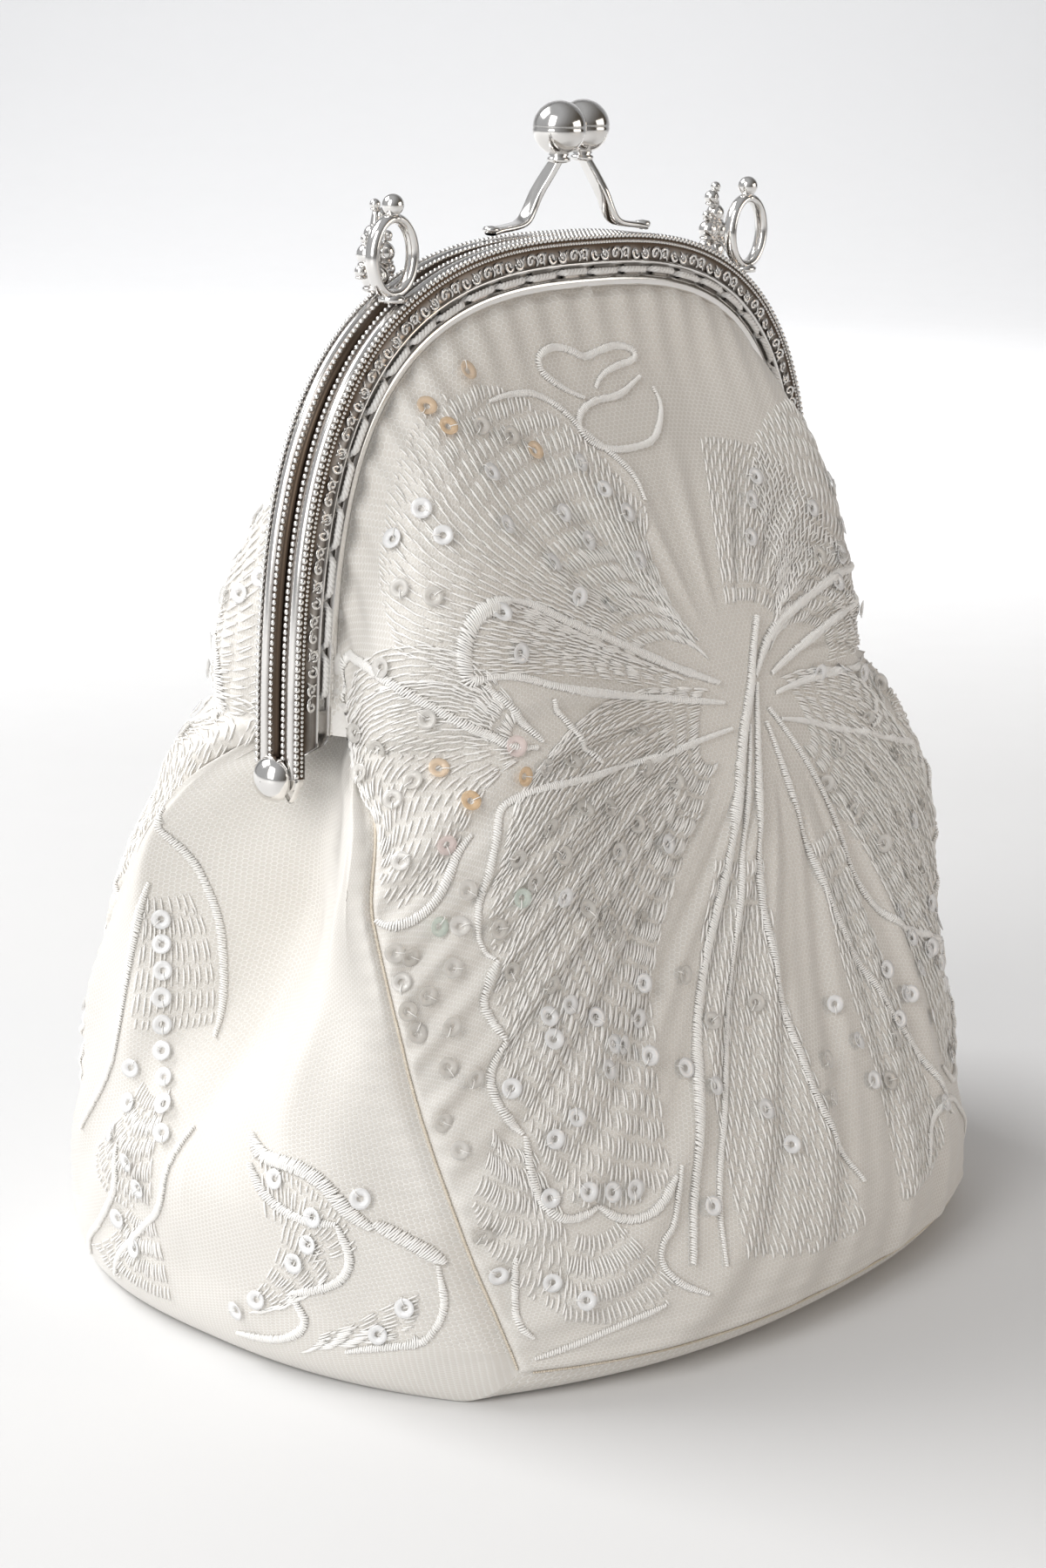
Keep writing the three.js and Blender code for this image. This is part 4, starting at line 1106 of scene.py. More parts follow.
STRIP_HALF, STRIP_HALF_WIDTH = 150.0, 38.0
GUSSET_FOLDS = [
    ((-112, 6), (-70, 17), 5.0, 1.1), ((-100, 26), (-62, 12), 4.5, -1.0), ((-84, 4), (-56, 9), 4.5, 0.9),
    ((112, 6), (70, 17), 5.0, 1.1), ((100, 26), (62, 12), 4.5, -1.0), ((84, 4), (56, 9), 4.5, 0.9),
]


def gusset(u, h, side):
    """The strip with soft creases and the tuck along its seam."""
    base = lambda a, b: bare_gusset(a, b, side)
    p = base(u, h)
    n = normal_of(base, u, h) * side
    along, across = u * STRIP_HALF, h * STRIP_HALF_WIDTH
    on_side = smooth(p[..., 2], 1.5, 12)
    height = fold_height(along, across + (5 if side == REAR else 0), GUSSET_FOLDS) * on_side
    ripple = np.sin(along / 6.1 + across / 7) * np.sin(across / 4.7 + along / 19)
    height += STRIP_RIPPLE_RISE * ripple * on_side
    height += STRIP_PUCKER_RISE * np.cos(p[..., 2] * PUCKER_WAVE + 1.5) * np.exp(-across / 3) * on_side
    p = p + n * (height * off_seam(across))[..., None] - seam_tuck(p, across)
    p[..., 2] = np.maximum(p[..., 2], MIN_Z)
    return slumped(p)


class Cloth:
    """A piece of cloth: its surface, which way is out, and how it moves."""

    def __init__(self, surface, scale, facing, bend):
        self.surface, self.scale, self.facing, self.bend = surface, scale, facing, bend

    def share(self, a, b):
        """Cloth coordinates in millimetres as the surface's own, from -1 to 1 and from 0 to 1."""
        return (np.clip(np.asarray(a, float) / self.scale[0], -1, 1),
                np.clip(np.asarray(b, float) / self.scale[1], 0, 1))

    def place(self, a, b):
        """Points and outward normals at cloth coordinates in millimetres."""
        a, b = self.share(a, b)
        return self.surface(a, b), normal_of(self.surface, a, b) * self.facing

    def point(self, a, b):
        """Points at cloth coordinates in millimetres."""
        return self.surface(*self.share(a, b))

    def shift(self, a, b, vector):
        """Change of cloth coordinates for each millimetre along a vector."""
        step = 0.3
        low_a, high_a = np.maximum(a - step, -self.scale[0]), np.minimum(a + step, self.scale[0])
        low_b, high_b = np.maximum(b - step, 0), np.minimum(b + step, self.scale[1])
        by_a = (self.point(high_a, b) - self.point(low_a, b)) / (high_a - low_a)[:, None]
        by_b = (self.point(a, high_b) - self.point(a, low_b)) / (high_b - low_b)[:, None]
        aa, ab, bb = (by_a * by_a).sum(-1), (by_a * by_b).sum(-1), (by_b * by_b).sum(-1)
        va, vb = (by_a * vector).sum(-1), (by_b * vector).sum(-1)
        spread = np.maximum(aa * bb - ab * ab, 1e-3)
        return (va * bb - vb * ab) / spread, (vb * aa - va * ab) / spread

    def follow(self, obj):
        """Bends obj across the hinge as the cloth does."""
        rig.blend(obj, "bag_body", self.bend[0], self.bend[1], self.bend[2])


def panel_cloth(side):
    bend = (f"{HALVES[side]}_half", (0, 0, 0.020), (0, 0, 0.095))
    return Cloth(lambda s, v: panel(s, v, side), (ACROSS, UP), -side, bend)


def gusset_cloth(side):
    bend = (f"{HALVES[side]}_half", (0, 0, 0.084), (0, side * 0.0167, 0.0950))
    return Cloth(lambda u, h: gusset(u, h, side), (STRIP_HALF, STRIP_HALF_WIDTH), side, bend)


def woven(cloth, name, material, a, b, depth, hem=(), stretch=1.0):
    """One layer of a cloth on a grid of its coordinates, depth millimetres inside its outer face."""
    grid_a, grid_b = np.meshgrid(a, b)
    p, n = cloth.place(grid_a, grid_b)
    p = p - n * depth
    coords = stack(grid_a * stretch, grid_b, 0.0)
    rows = [p]
    marks = [coords]
    for extra in hem:
        point, mark = extra(p, coords)
        rows.append(point[None])
        marks.append(mark[None])
    p, coords = np.concatenate(rows), np.concatenate(marks)
    faces = grid_faces(p.shape[0], p.shape[1])
    return new_object(name, p.reshape(-1, 3), faces, material, {"cloth": coords.reshape(-1, 3)})


def panel_hem(side, a, depth):
    """Rows that carry the panel's top edge under the flange."""
    s = a / ACROSS
    distance = mouth_distance(s)

    def row(share):
        def make(p, coords):
            inside = mix(MOUTH_INSIDE, HEM_INSIDE, share)
            y = mix(np.abs(p[-1][:, 1]), HEM_Y - depth * 0.4, min(share * 1.6, 1))
            point = frame_point(distance, inside, side * y)
            mark = coords[-1] + stack(0 * s, share * 6.0, 0.0)
            return point, mark
        return make

    return [row(k) for k in (0.25, 0.5, 0.75, 1.0)]


def sew_panel(cloth, side):
    """Outer face and lining of the front or rear."""
    name = HALVES[side]
    # The columns lie closer together towards the seams.
    crowd = math.pi / 2 * 0.86
    a = ACROSS * np.sin(np.linspace(-1, 1, 261) * crowd) / math.sin(crowd)
    b = UP * np.linspace(0, 1, 281)
    outer = woven(cloth, f"{name}_panel_cloth", SATIN, a, b, 0.0, panel_hem(side, a, 0.0), PANEL_STRETCH)
    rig.replaces(outer, f"outer_{name}_panel")
    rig.slot(outer, "embroidered_satin")
    depth = LINING_DEPTH["panel"]
    hem = panel_hem(side, a[::2], depth)
    inner = woven(cloth, f"{name}_panel_lining", LINING, a[::2], b[::2], depth, hem, PANEL_STRETCH)
    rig.replaces(inner, f"lining_{name}_panel")
    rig.slot(inner, "lining_satin")
    return outer, inner


def sew_gusset(cloth, side):
    """One half of the gusset strip and of its lining."""
    name = HALVES[side]
    a = STRIP_HALF * np.linspace(-1, 1, 521)
    b = STRIP_HALF_WIDTH * np.linspace(0, 1, 61)
    outer = woven(cloth, f"{name}_gusset_cloth", SATIN, a, b, 0.0)
    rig.slot(outer, "embroidered_satin")
    inner = woven(cloth, f"{name}_gusset_lining", LINING, a[::2], b[::2], LINING_DEPTH["gusset"])
    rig.slot(inner, "lining_satin")
    if side == FRONT:
        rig.replaces(outer, "outer_gusset")
        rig.replaces(inner, "lining_gusset")
    return outer, inner


# ---------------------------------------------------------------- embroidery
STITCH_PITCH_MM = 0.37
STITCH_RADIUS = 0.19
LOFT = 0.42
DASH, DASH_GAP, DASH_RADIUS = 3.0, 0.7, 0.15
SEQUIN_RADIUS, SEQUIN_HOLE = 1.5, 0.5
SEQUIN_LIFT = 0.42
WING_SCALE = 0.92
RNG = np.random.default_rng(11)

# Lines are in millimetres of cloth: across from the middle, up from the bottom seam.
LEFT_PETALS = [
    ([(-57, 150), (-52, 147), (-47, 134), (-44, 126), (-41, 117), (-38, 110), (-35.5, 105), (-33, 100),
      (-30, 97)], 1.6),
    ([(2, 84), (-4, 83.5), (-11, 83), (-18, 85), (-23, 86.5), (-27.5, 89), (-32.5, 92.5), (-36, 95),
      (-38, 96),
      (-39.5, 95), (-41, 93), (-42.5, 90), (-44, 87.5), (-45, 84.5), (-44.5, 80), (-43, 76.5)], 1.2),
    ([(-43, 76.5), (-45, 75.5), (-46.5, 73), (-46, 69), (-45, 64)], 1.4),
    ([(-45, 64), (-47.5, 62.5), (-49, 60), (-49, 55.5), (-48, 51), (-47, 47.5)], 1.4),
    ([(-47, 47.5), (-48, 43.5), (-48.5, 38.5), (-48, 33), (-46, 30), (-43, 29), (-41, 29.5)], 1.4),
    ([(-41, 29.5), (-39, 26), (-36, 24), (-32, 24.5), (-28, 27.5)], 1.4),
    ([(-43, 98.5), (-46, 99.5), (-48, 98), (-50, 97), (-53, 99), (-56.5, 104), (-59, 111)], 1.4),
    ([(-35, 113), (-32.5, 106.5), (-30.5, 101), (-29, 97)], 1.3),
    ([(-26, 101), (-24, 95), (-22.5, 90.5), (-20.5, 87)], 1.2),
    ([(-35, 114), (-37, 116), (-36.5, 120), (-34.5, 122), (-32, 121), (-27.5, 117.5)], 2.6),
    ([(-27.5, 117.5), (-23.5, 113), (-19.5, 107.5), (-13.5, 102), (-6, 96), (2, 91)], 1.5),
    ([(-35, 114), (-30, 108.5), (-23.5, 100), (-16.5, 95), (-7.5, 91), (2, 88)], 1.3),
]
TOP_SCROLLS = [
    ([(-4.5, 135), (-6.5, 136.5), (-8.5, 138.5), (-9.5, 140.5), (-9, 142.5), (-6.5, 143), (-4.5, 142),
      (-3, 140.5),
      (-0.5, 141.5), (2, 142), (4, 141), (4, 139.5), (1.5, 139), (-1, 138), (-2.5, 136)], 1.2),
    ([(4, 137), (0.5, 134.5), (-3, 134.5), (-5.5, 133.5), (-7, 131.5), (-6.5, 129), (-3.5, 127),
      (-0.5, 127),
      (2.5, 127.5), (4.5, 130), (6, 133), (5.5, 135.5)], 1.2),
    ([(-18, 139.5), (-14, 138.5), (-10.5, 137), (-8, 134), (-6.5, 130.5), (-4, 127), (-2, 123),
      (-2, 119)], 1.1),
]
STEMS = [
    ([(10.5, 100), (8, 93), (7, 89.5), (3, 82), (-0.5, 70.5), (-4.5, 60), (-12, 47.5), (-19.5, 35),
      (-31, 14)], 1.9),
    ([(8, 90), (4, 75), (2, 62), (2, 50.5), (1.5, 39.5), (1, 26), (6.5, 15)], 1.5),
    ([(5, 84), (1, 70), (-1.5, 59), (-7, 46), (-14.5, 33), (-21, 24.5), (-26, 12)], 1.1),
    ([(8, 91), (12.5, 98), (21, 104), (32.5, 116), (41, 126)], 1.8),
    ([(9, 86), (20, 67.5), (21.5, 59.5), (27, 53), (37, 50.5), (56, 57)], 1.4),
    ([(8, 84), (11.5, 65.5), (18, 48.5), (28, 33.5), (40, 18)], 1.5),
]
BASE_CURLS = [
    ([(-26.5, 28.5), (-28.5, 25.5), (-31, 20.5), (-34, 19.5), (-35.5, 16), (-34, 12), (-30, 9)], 1.1),
    ([(-54, 27.5), (-56, 20), (-57.5, 13), (-56, 9)], 1.1),
    ([(-57, 4), (-51, 6), (-44.5, 8), (-37, 9.5)], 1.0),
    ([(26, 12), (31, 20), (40, 22), (48, 17), (52, 9)], 1.2),
]
# (apex, edge, bow, share of the way where the stitches begin)
LEFT_FILLS = [
    ((-31, 97), [(-50, 139), (-54, 140), (-57, 134), (-58, 125), (-58, 115), (-56, 106),
      (-50, 99)], -0.10, 0.12),
    (CENTRE, [(-43, 130), (-43, 141), (-38, 146), (-30, 147), (-20, 144), (-11, 136), (-5, 127),
      (-2, 117)], 0.13, 0.25),
    (CENTRE, [(-34, 93), (-38, 94.5), (-43, 86), (-43.5, 79), (-42, 76), (-45, 72), (-44, 65), (-47, 60),
      (-46, 49),
              (-46, 36), (-44, 31), (-39, 27), (-33, 26), (-28, 28)], -0.07, 0.16),
    ((-50, 58), [(-57, 44), (-57.5, 30), (-55, 18), (-51, 12)], 0.1, 0.3),
    ((-40, 34), [(-52, 12), (-46, 8), (-38, 8), (-33, 12)], -0.05, 0.35),
    (CENTRE, [(-35, 114), (-35, 119), (-30, 119), (-24, 113)], 0.08, 0.25),
]
CENTRE_FILLS = [
    (CENTRE, [(-22, 12), (-12, 9), (-2, 8), (5, 9)], -0.04, 0.3),
    (CENTRE, [(16, 9), (26, 10), (34, 15)], 0.05, 0.3),
    (CENTRE, [(10, 128), (20, 128), (27, 124), (33, 118)], 0.05, 0.35),
]
CLEAR_SEQUINS = [
    (-42, 117), (-45.5, 92.5), (-47, 88), (-42, 81), (-55, 95.5), (-57, 100), (-49.5, 84), (-54, 85.5),
    (-57, 93), (-57.5, 88), (-57, 82), (-57, 62), (-56, 54.5), (-57, 35), (-30, 94), (-25.5, 90.5),
    (-32.5, 87), (-31, 81), (-26, 83.5), (-21.5, 81), (-41.5, 73), (-36.5, 65.5), (-25, 68), (-24, 64),
    (-18.5, 63), (-52, 131), (-53, 126), (-48, 121), (-13, 88), (-17, 76), (-9, 79), (-52, 76), (-54, 70),
    (-51, 64), (-14, 83), (-21, 74), (-28, 70), (-36, 82), (-38, 88), (18, 74), (24, 70), (30, 66),
    (36, 61), (22, 80), (29, 77), (36, 72), (44, 66), (30, 88), (38, 86), (46, 82), (-40, 136), (-45, 131),
    (-37, 130), (-17, 134), (-21, 138), (24, 112), (30, 117), (36, 112), (44, 106), (6, 33), (4, 28),
    (20, 27), (24, 33), (47, 42), (50, 36), (46, 30), (-12, 44), (-14, 52), (-3, 44), (40, 128), (34, 132),
    (-54, 112), (-50, 116), (-46, 112),
]
WHITE_SEQUINS = [
    (-32, 75.5), (-34.5, 60), (-38.5, 57.5), (-38, 61), (-30.5, 54.5), (-29.5, 49.5), (-28, 48.5),
    (-32, 47), (-46.5, 56.5), (-39.5, 44.5), (-43.5, 44), (-47, 35), (-42, 33), (-38.5, 30.5), (-35, 29),
    (-23.5, 50), (-21, 54), (-24.5, 44.5), (-57, 25.5), (-12.5, 71), (-9, 126.5), (-7, 122), (-5, 118),
    (-14.5, 121), (-12.5, 116), (-6, 111), (-33, 134), (-38.5, 141.5), (-34, 139.5), (-23, 132.5),
    (-24, 125.5), (-30, 118), (-29, 111), (-19, 116), (-17, 110), (-12, 106), (-51, 20), (-48, 15),
    (-24, 21), (-19, 40), (-16, 36), (-9, 30), (-6, 24), (12, 40), (14, 34), (15, 28), (26, 44), (31, 40),
    (36, 36), (12, 112), (14, 118), (16, 122), (20, 92), (26, 94), (32, 97), (38, 100),
]
# The amber, pink and green sequins carry painted iridescent flashes.
AMBER_SEQUINS = [
    (-20, 145), (-27, 146), (-26, 142), (-14.5, 130.5), (-42.5, 108.5), (-41.5, 101.5), (-33.5, 96),
]
PINK_SEQUINS = [(-33, 100.5), (-47, 103)]
GREEN_SEQUINS = [(-50, 93), (-38, 81.5)]

# The same on the strip: along from under the bag, across from the seam.
STRIP_CORDS = [
    ([(-84, 8.6), (-86, 11), (-90, 12.8), (-91.5, 16.6), (-90, 23), (-93, 27)], 2.4),
    ([(-85, 8.2), (-83.5, 5.8), (-82, 3.6), (-80.5, 2.2)], 2.2),
    ([(-88.8, 25.4), (-84, 22), (-82.5, 17), (-83.6, 12.4)], 1.5),
    ([(-83.6, 12.4), (-78, 12), (-72.5, 15.4), (-69, 22)], 1.5),
    ([(-69, 22), (-63, 20), (-57, 24), (-55, 31)], 1.4),
    ([(-80, 3), (-72, 4), (-64, 9), (-58, 16)], 1.2),
]
STRIP_FILLS = [
    ((-74, 24), [(-90, 24), (-90, 16), (-85, 11), (-80, 11)], 0.08, 0.45),
    ((-58, 34), [(-82, 20), (-80, 14), (-73, 16), (-69, 22)], 0.05, 0.4),
    ((-50, 26), [(-76, 5), (-68, 8), (-60, 15)], -0.05, 0.4),
]
REAR_STRIP_CORDS = [
    ([(-126, 19), (-119, 17), (-111, 16.6), (-102, 16), (-92, 12.5), (-82, 10)], 1.4),
    ([(-138, 12), (-132, 23), (-121, 27), (-112, 29), (-102, 31)], 1.3),
    ([(-90, 36), (-84, 34), (-76, 34), (-70, 29), (-63, 24), (-54, 22)], 1.3),
    ([(-84, 22), (-76, 24), (-69, 20), (-60, 15), (-52, 14)], 1.3),
]
REAR_STRIP_FILLS = [
    ((-140, 17), [(-104, 30), (-103, 25), (-103, 20), (-104, 17)], 0.03, 0.45),
    ((-104, 24), [(-76, 32), (-72, 26), (-74, 20), (-80, 14)], 0.05, 0.35),
    ((-80, 30), [(-56, 34), (-54, 27), (-54, 20), (-58, 15)], 0.05, 0.3),
]
STRIP_SEQUINS = [
    (-88, 20), (-84, 15), (-79, 17), (-75, 20), (-66, 27), (-62, 30), (-88.5, 9), (-72, 8), (-66, 12),
]
REAR_STRIP_SEQUINS = [
    (-112, 22), (-108, 22.3), (-104, 23), (-100, 24), (-96, 26), (-92, 28.5), (-88, 31), (-116, 21.5),
    (-120, 21), (-82, 26), (-78, 29), (-70, 24), (-66, 28), (-97, 19), (-91, 20), (-85, 19),
]


def rounded(line, times=3):
    """A line with its corners cut away, which makes it a curve."""
    p = np.asarray(line, float)
    for _ in range(times):
        cut = np.stack([mix(p[:-1], p[1:], 0.25), mix(p[:-1], p[1:], 0.75)], 1).reshape(-1, 2)
        p = np.concatenate([p[:1], cut, p[-1:]])
    return p


def measured(cloth, line, count=500):
    """A line cut into many steps, and its real length on the cloth up to each."""
    share = np.concatenate([[0], np.cumsum(np.hypot(*np.diff(line, axis=0).T))])
    at = np.linspace(0, share[-1], count)
    fine = np.stack([np.interp(at, share, line[:, i]) for i in (0, 1)], -1)
    steps = np.linalg.norm(np.diff(cloth.point(*fine.T), axis=0), axis=-1)
    return fine, np.concatenate([[0], np.cumsum(steps)])


def spaced(cloth, line, pitch):
    """Cloth coordinates every pitch millimetres along a line."""
    fine, run = measured(cloth, line)
    at = (np.arange(max(int(run[-1] / pitch), 1)) + 0.5) * pitch
    return np.stack([np.interp(at, run, fine[:, i]) for i in (0, 1)], -1)


def satin_cord(cloth, bundle, line, width, slant=0.35):
    """Close stitches laid across a line: a raised cord or band."""
    a, b = spaced(cloth, rounded(line), STITCH_PITCH_MM).T
    point, normal = cloth.place(a, b)
    along = np.gradient(point, axis=0)
    along /= np.maximum(np.linalg.norm(along, axis=-1, keepdims=True), 1e-9)
    across = np.cross(normal, along) + along * (slant + RNG.normal(0, 0.07, len(a)))[:, None]
    share = np.linspace(0, 1, len(a))
    ends = np.minimum(1, 7 * np.minimum(share, 1 - share))
    half = width / 2 * (0.5 + 0.5 * ends) * (1 + RNG.normal(0, 0.07, len(a)))
    f = np.array([-1, -0.62, 0, 0.62, 1])
    da, db = cloth.shift(a, b, across)
    reach = half[:, None] * f
    p, n = cloth.place(a[:, None] + da[:, None] * reach, b[:, None] + db[:, None] * reach)
    lift = 0.1 + LOFT * min(width / 1.6, 1.2) * (1 - f * f)
    points, faces = tubes(p + n * lift[:, None], STITCH_RADIUS, lift=normal)
    bundle.add(points, faces, RNG.uniform(0, 1, len(a)))


def ray_fill(cloth, bundle, apex, edge, bow, first, spacing=0.95):
    """Rows of short stitches that fan out from near a point to an edge, bowed to one side."""
    t = np.linspace(first, 1, 80)[:, None]
    apex = np.asarray(apex, float)
    pieces = []
    for i, end in enumerate(spaced(cloth, rounded(edge), spacing)):
        way = end - apex
        sideways = np.array([-way[1], way[0]])
        start = 0.12 * (i % 2) * (1 - t)
        line = apex + way * (t + start) + sideways * bow * 4 * t * (1 - t)
        fine, run = measured(cloth, line, 160)
        stride = DASH + DASH_GAP
        begin = np.arange(-stride * ((i * 0.5 + RNG.uniform(0, 0.2)) % 1), run[-1], stride)
        low, high = np.maximum(begin, 0), np.minimum(begin + DASH + RNG.normal(0, 0.2, len(begin)), run[-1])
        keep = high - low > 0.9
        at = low[keep][:, None] + (high - low)[keep][:, None] * np.linspace(0, 1, 5)
        pieces.append(np.stack([np.interp(at, run, fine[:, k]) for k in (0, 1)], -1))
    at = np.concatenate(pieces)
    at += RNG.normal(0, 0.06, (len(at), 1, 2))
    p, n = cloth.place(at[..., 0], at[..., 1])
    lift = 0.08 + 0.2 * np.sin(np.linspace(0, math.pi, 5))
    points, faces = tubes(p + n * lift[:, None], DASH_RADIUS, lift=n[:, 2])
    bundle.add(points, faces, RNG.uniform(0, 1, len(at)))


def sequin_ring(segments=20):
    """One cupped ring sequin around the origin, of unit millimetres."""
    outline = [(SEQUIN_HOLE, 0.05), (0.95, 0.12), (SEQUIN_RADIUS, 0.34), (SEQUIN_RADIUS, 0.40), (0.95, 0.19),
               (SEQUIN_HOLE, 0.12)]
    turn = 2 * math.pi * np.arange(segments) / segments
    points = np.array([[(r * math.cos(q), r * math.sin(q), z) for q in turn] for r, z in outline])
    rows = len(outline)
    faces = grid_faces(rows, segments, wrap=True).tolist()
    last = (rows - 1) * segments
    faces += [(last + i, last + (i + 1) % segments, (i + 1) % segments, i) for i in range(segments)]
    return points.reshape(-1, 3), np.array(faces)


def sew_sequins(cloth, bundle, floss, places, mirror=1):
    """Sequins at cloth coordinates, each a little tilted and held by a stitch over its rim."""
    ring, faces = sequin_ring()
    a, b = np.asarray(places, float).T
    a = a * mirror
    p, n = cloth.place(a, b)
    e = np.cross(n, np.array([0.3, 0.2, 1.0]))
    e /= np.linalg.norm(e, axis=-1, keepdims=True)
    turn = RNG.uniform(0, 2 * math.pi, len(a))[:, None]
    f = np.cross(n, e)
    e, f = e * np.cos(turn) + f * np.sin(turn), f * np.cos(turn) - e * np.sin(turn)
    n2 = n + e * RNG.uniform(0.03, 0.2, len(a))[:, None]
    n2 /= np.linalg.norm(n2, axis=-1, keepdims=True)
    e = e - n2 * (e * n2).sum(-1, keepdims=True)
    size = RNG.normal(1, 0.03, len(a))[:, None, None]
    local = (ring[None, :, 0:1] * e[:, None] + ring[None, :, 1:2] * f[:, None]) * size
    local = local + ring[None, :, 2:3] * n2[:, None]
    bundle.add(p[:, None] + n[:, None] * SEQUIN_LIFT + local, faces, RNG.uniform(0, 1, len(a)))
    out = np.array([0.1, 0.5, 1.0, 1.5, 1.75])
    lift = np.array([0.35, 0.62, 0.78, 0.86, 0.4])
    path = p[:, None] + e[:, None] * out[:, None] + n[:, None] * lift[:, None]
    floss.add(*tubes(path, 0.09, lift=f), RNG.uniform(0, 0.5, len(a)))


def seam_lines(cloth, name):
    """Small slanting stitches in the seams round a face, in tan thread whose tone is partly painted shade of the
    seam's gap.
    """
    bundle = Bundle()
    for line in ([(-59.8, 140), (-59.8, 1)], [(59.8, 140), (59.8, 1)], [(-58, 0.4), (58, 0.4)]):
        satin_cord(cloth, bundle, line, 0.45, slant=1.1)
    obj = bundle.build(f"{name}_seam_thread", SEAM)
    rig.slot(obj, "sewing_thread")
    cloth.follow(obj)
    return obj


def over(p):
    """A point of one wing of the pattern turned over to the other wing."""
    return CENTRE[0] + (CENTRE[0] - p[0]) * WING_SCALE, p[1]


def mirrored(lines, turn=over):
    """Lines with every point turned over."""
    return [([turn(p) for p in line], width) for line, width in lines]


def mirrored_fills(fills, turn=over):
    """Fills with every point and their bow turned over."""
    return [(turn(apex), [turn(p) for p in edge], -bow, first) for apex, edge, bow, first in fills]


def embroider(cloth, name, cords, fills, sequins, flip=1):
    """All stitches and sequins of one cloth; flip -1 turns the pattern over."""
    floss = Bundle()
    for line, width in cords:
        satin_cord(cloth, floss, [(a * flip, b) for a, b in line], width)
    for apex, edge, bow, first in fills:
        ray_fill(cloth, floss, (apex[0] * flip, apex[1]), [(a * flip, b) for a, b in edge], bow * flip, first)
    made = []
    for kind, places in sequins.items():
        spangles = Bundle()
        sew_sequins(cloth, spangles, floss, places, flip)
        made.append(spangles.build(f"{name}_{kind}_sequins", SEQUINS[kind]))
    made.append(floss.build(f"{name}_embroidery", FLOSS))
    for obj in made:
        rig.slot(obj, "embroidered_satin")
        cloth.follow(obj)
    return made


def embroider_panel(cloth, side):
    """The large flower of a face; on the rear it is turned over."""
    cords = LEFT_PETALS + TOP_SCROLLS + STEMS + BASE_CURLS + mirrored(LEFT_PETALS[1:])
    fills = LEFT_FILLS + CENTRE_FILLS + mirrored_fills(LEFT_FILLS[:3])
    extra = [((2 * CENTRE[0] - a) * WING_SCALE, b) for a, b in WHITE_SEQUINS if a < -14]
    white = WHITE_SEQUINS + [(a, b) for a, b in extra if a < 55]
    sequins = {"clear": CLEAR_SEQUINS, "white": white, "amber": AMBER_SEQUINS, "pink": PINK_SEQUINS,
               "green": GREEN_SEQUINS}
    made = embroider(cloth, f"{HALVES[side]}_panel", cords, fills, sequins, -side)
    return made + [seam_lines(cloth, f"{HALVES[side]}_panel")]


def embroider_gusset(cloth, side):
    """Scalloped motifs at both ends of the strip."""
    front = side == FRONT
    cords = STRIP_CORDS if front else REAR_STRIP_CORDS
    fills = STRIP_FILLS if front else REAR_STRIP_FILLS
    places = STRIP_SEQUINS if front else REAR_STRIP_SEQUINS
    far_end = lambda p: (-p[0], p[1])
    sequins = {"white": places + [far_end(p) for p in places]}
    return embroider(cloth, f"{HALVES[side]}_gusset", cords + mirrored(cords, far_end),
                     fills + mirrored_fills(fills, far_end), sequins)


# ---------------------------------------------------------------- stage, light and camera
# Metres from here on.
AWAY = (0.76, 0.65)
SWEEP_START, SWEEP_RADIUS = 1.4, 0.8
WORLD_STRENGTH = 0.46
WORLD_BRIGHT_SIDE = Vector((-0.66, 0.36, 0.62)).normalized()
WORLD_STOPS = [(0.0, (0.10, 0.08, 0.06, 1)), (0.34, (0.20, 0.175, 0.145, 1)), (0.58, (0.52, 0.51, 0.50, 1)),
               (0.82, (1.0, 1.01, 1.03, 1))]
# name, place, aim, (width, height), watts, colour
AREA_LIGHTS = [
    ("window", (-1.0, -0.08, 0.62), (0, 0, 0.08), (0.5, 1.0), 7.2, (1.0, 0.99, 0.975)),
    ("room_fill", (0.7, -1.1, 0.4), (0, 0, 0.07), (1.0, 0.6), 3.2, (1.0, 0.97, 0.93)),
    ("overhead", (-0.5, 1.0, 1.2), (0, 0, 0.1), (0.9, 0.7), 19.0, (1.0, 1.0, 1.0)),
    ("backdrop_wash", (0.6, 0.6, 1.0), (1.7, 1.5, 0.2), (0.9, 0.9), 11.0, (0.99, 0.99, 1.0)),
    ("lamp", (0.75, -1.25, 0.5), (0, 0, 0.1), (0.22, 0.3), 1.0, (1.0, 0.60, 0.28)),
]


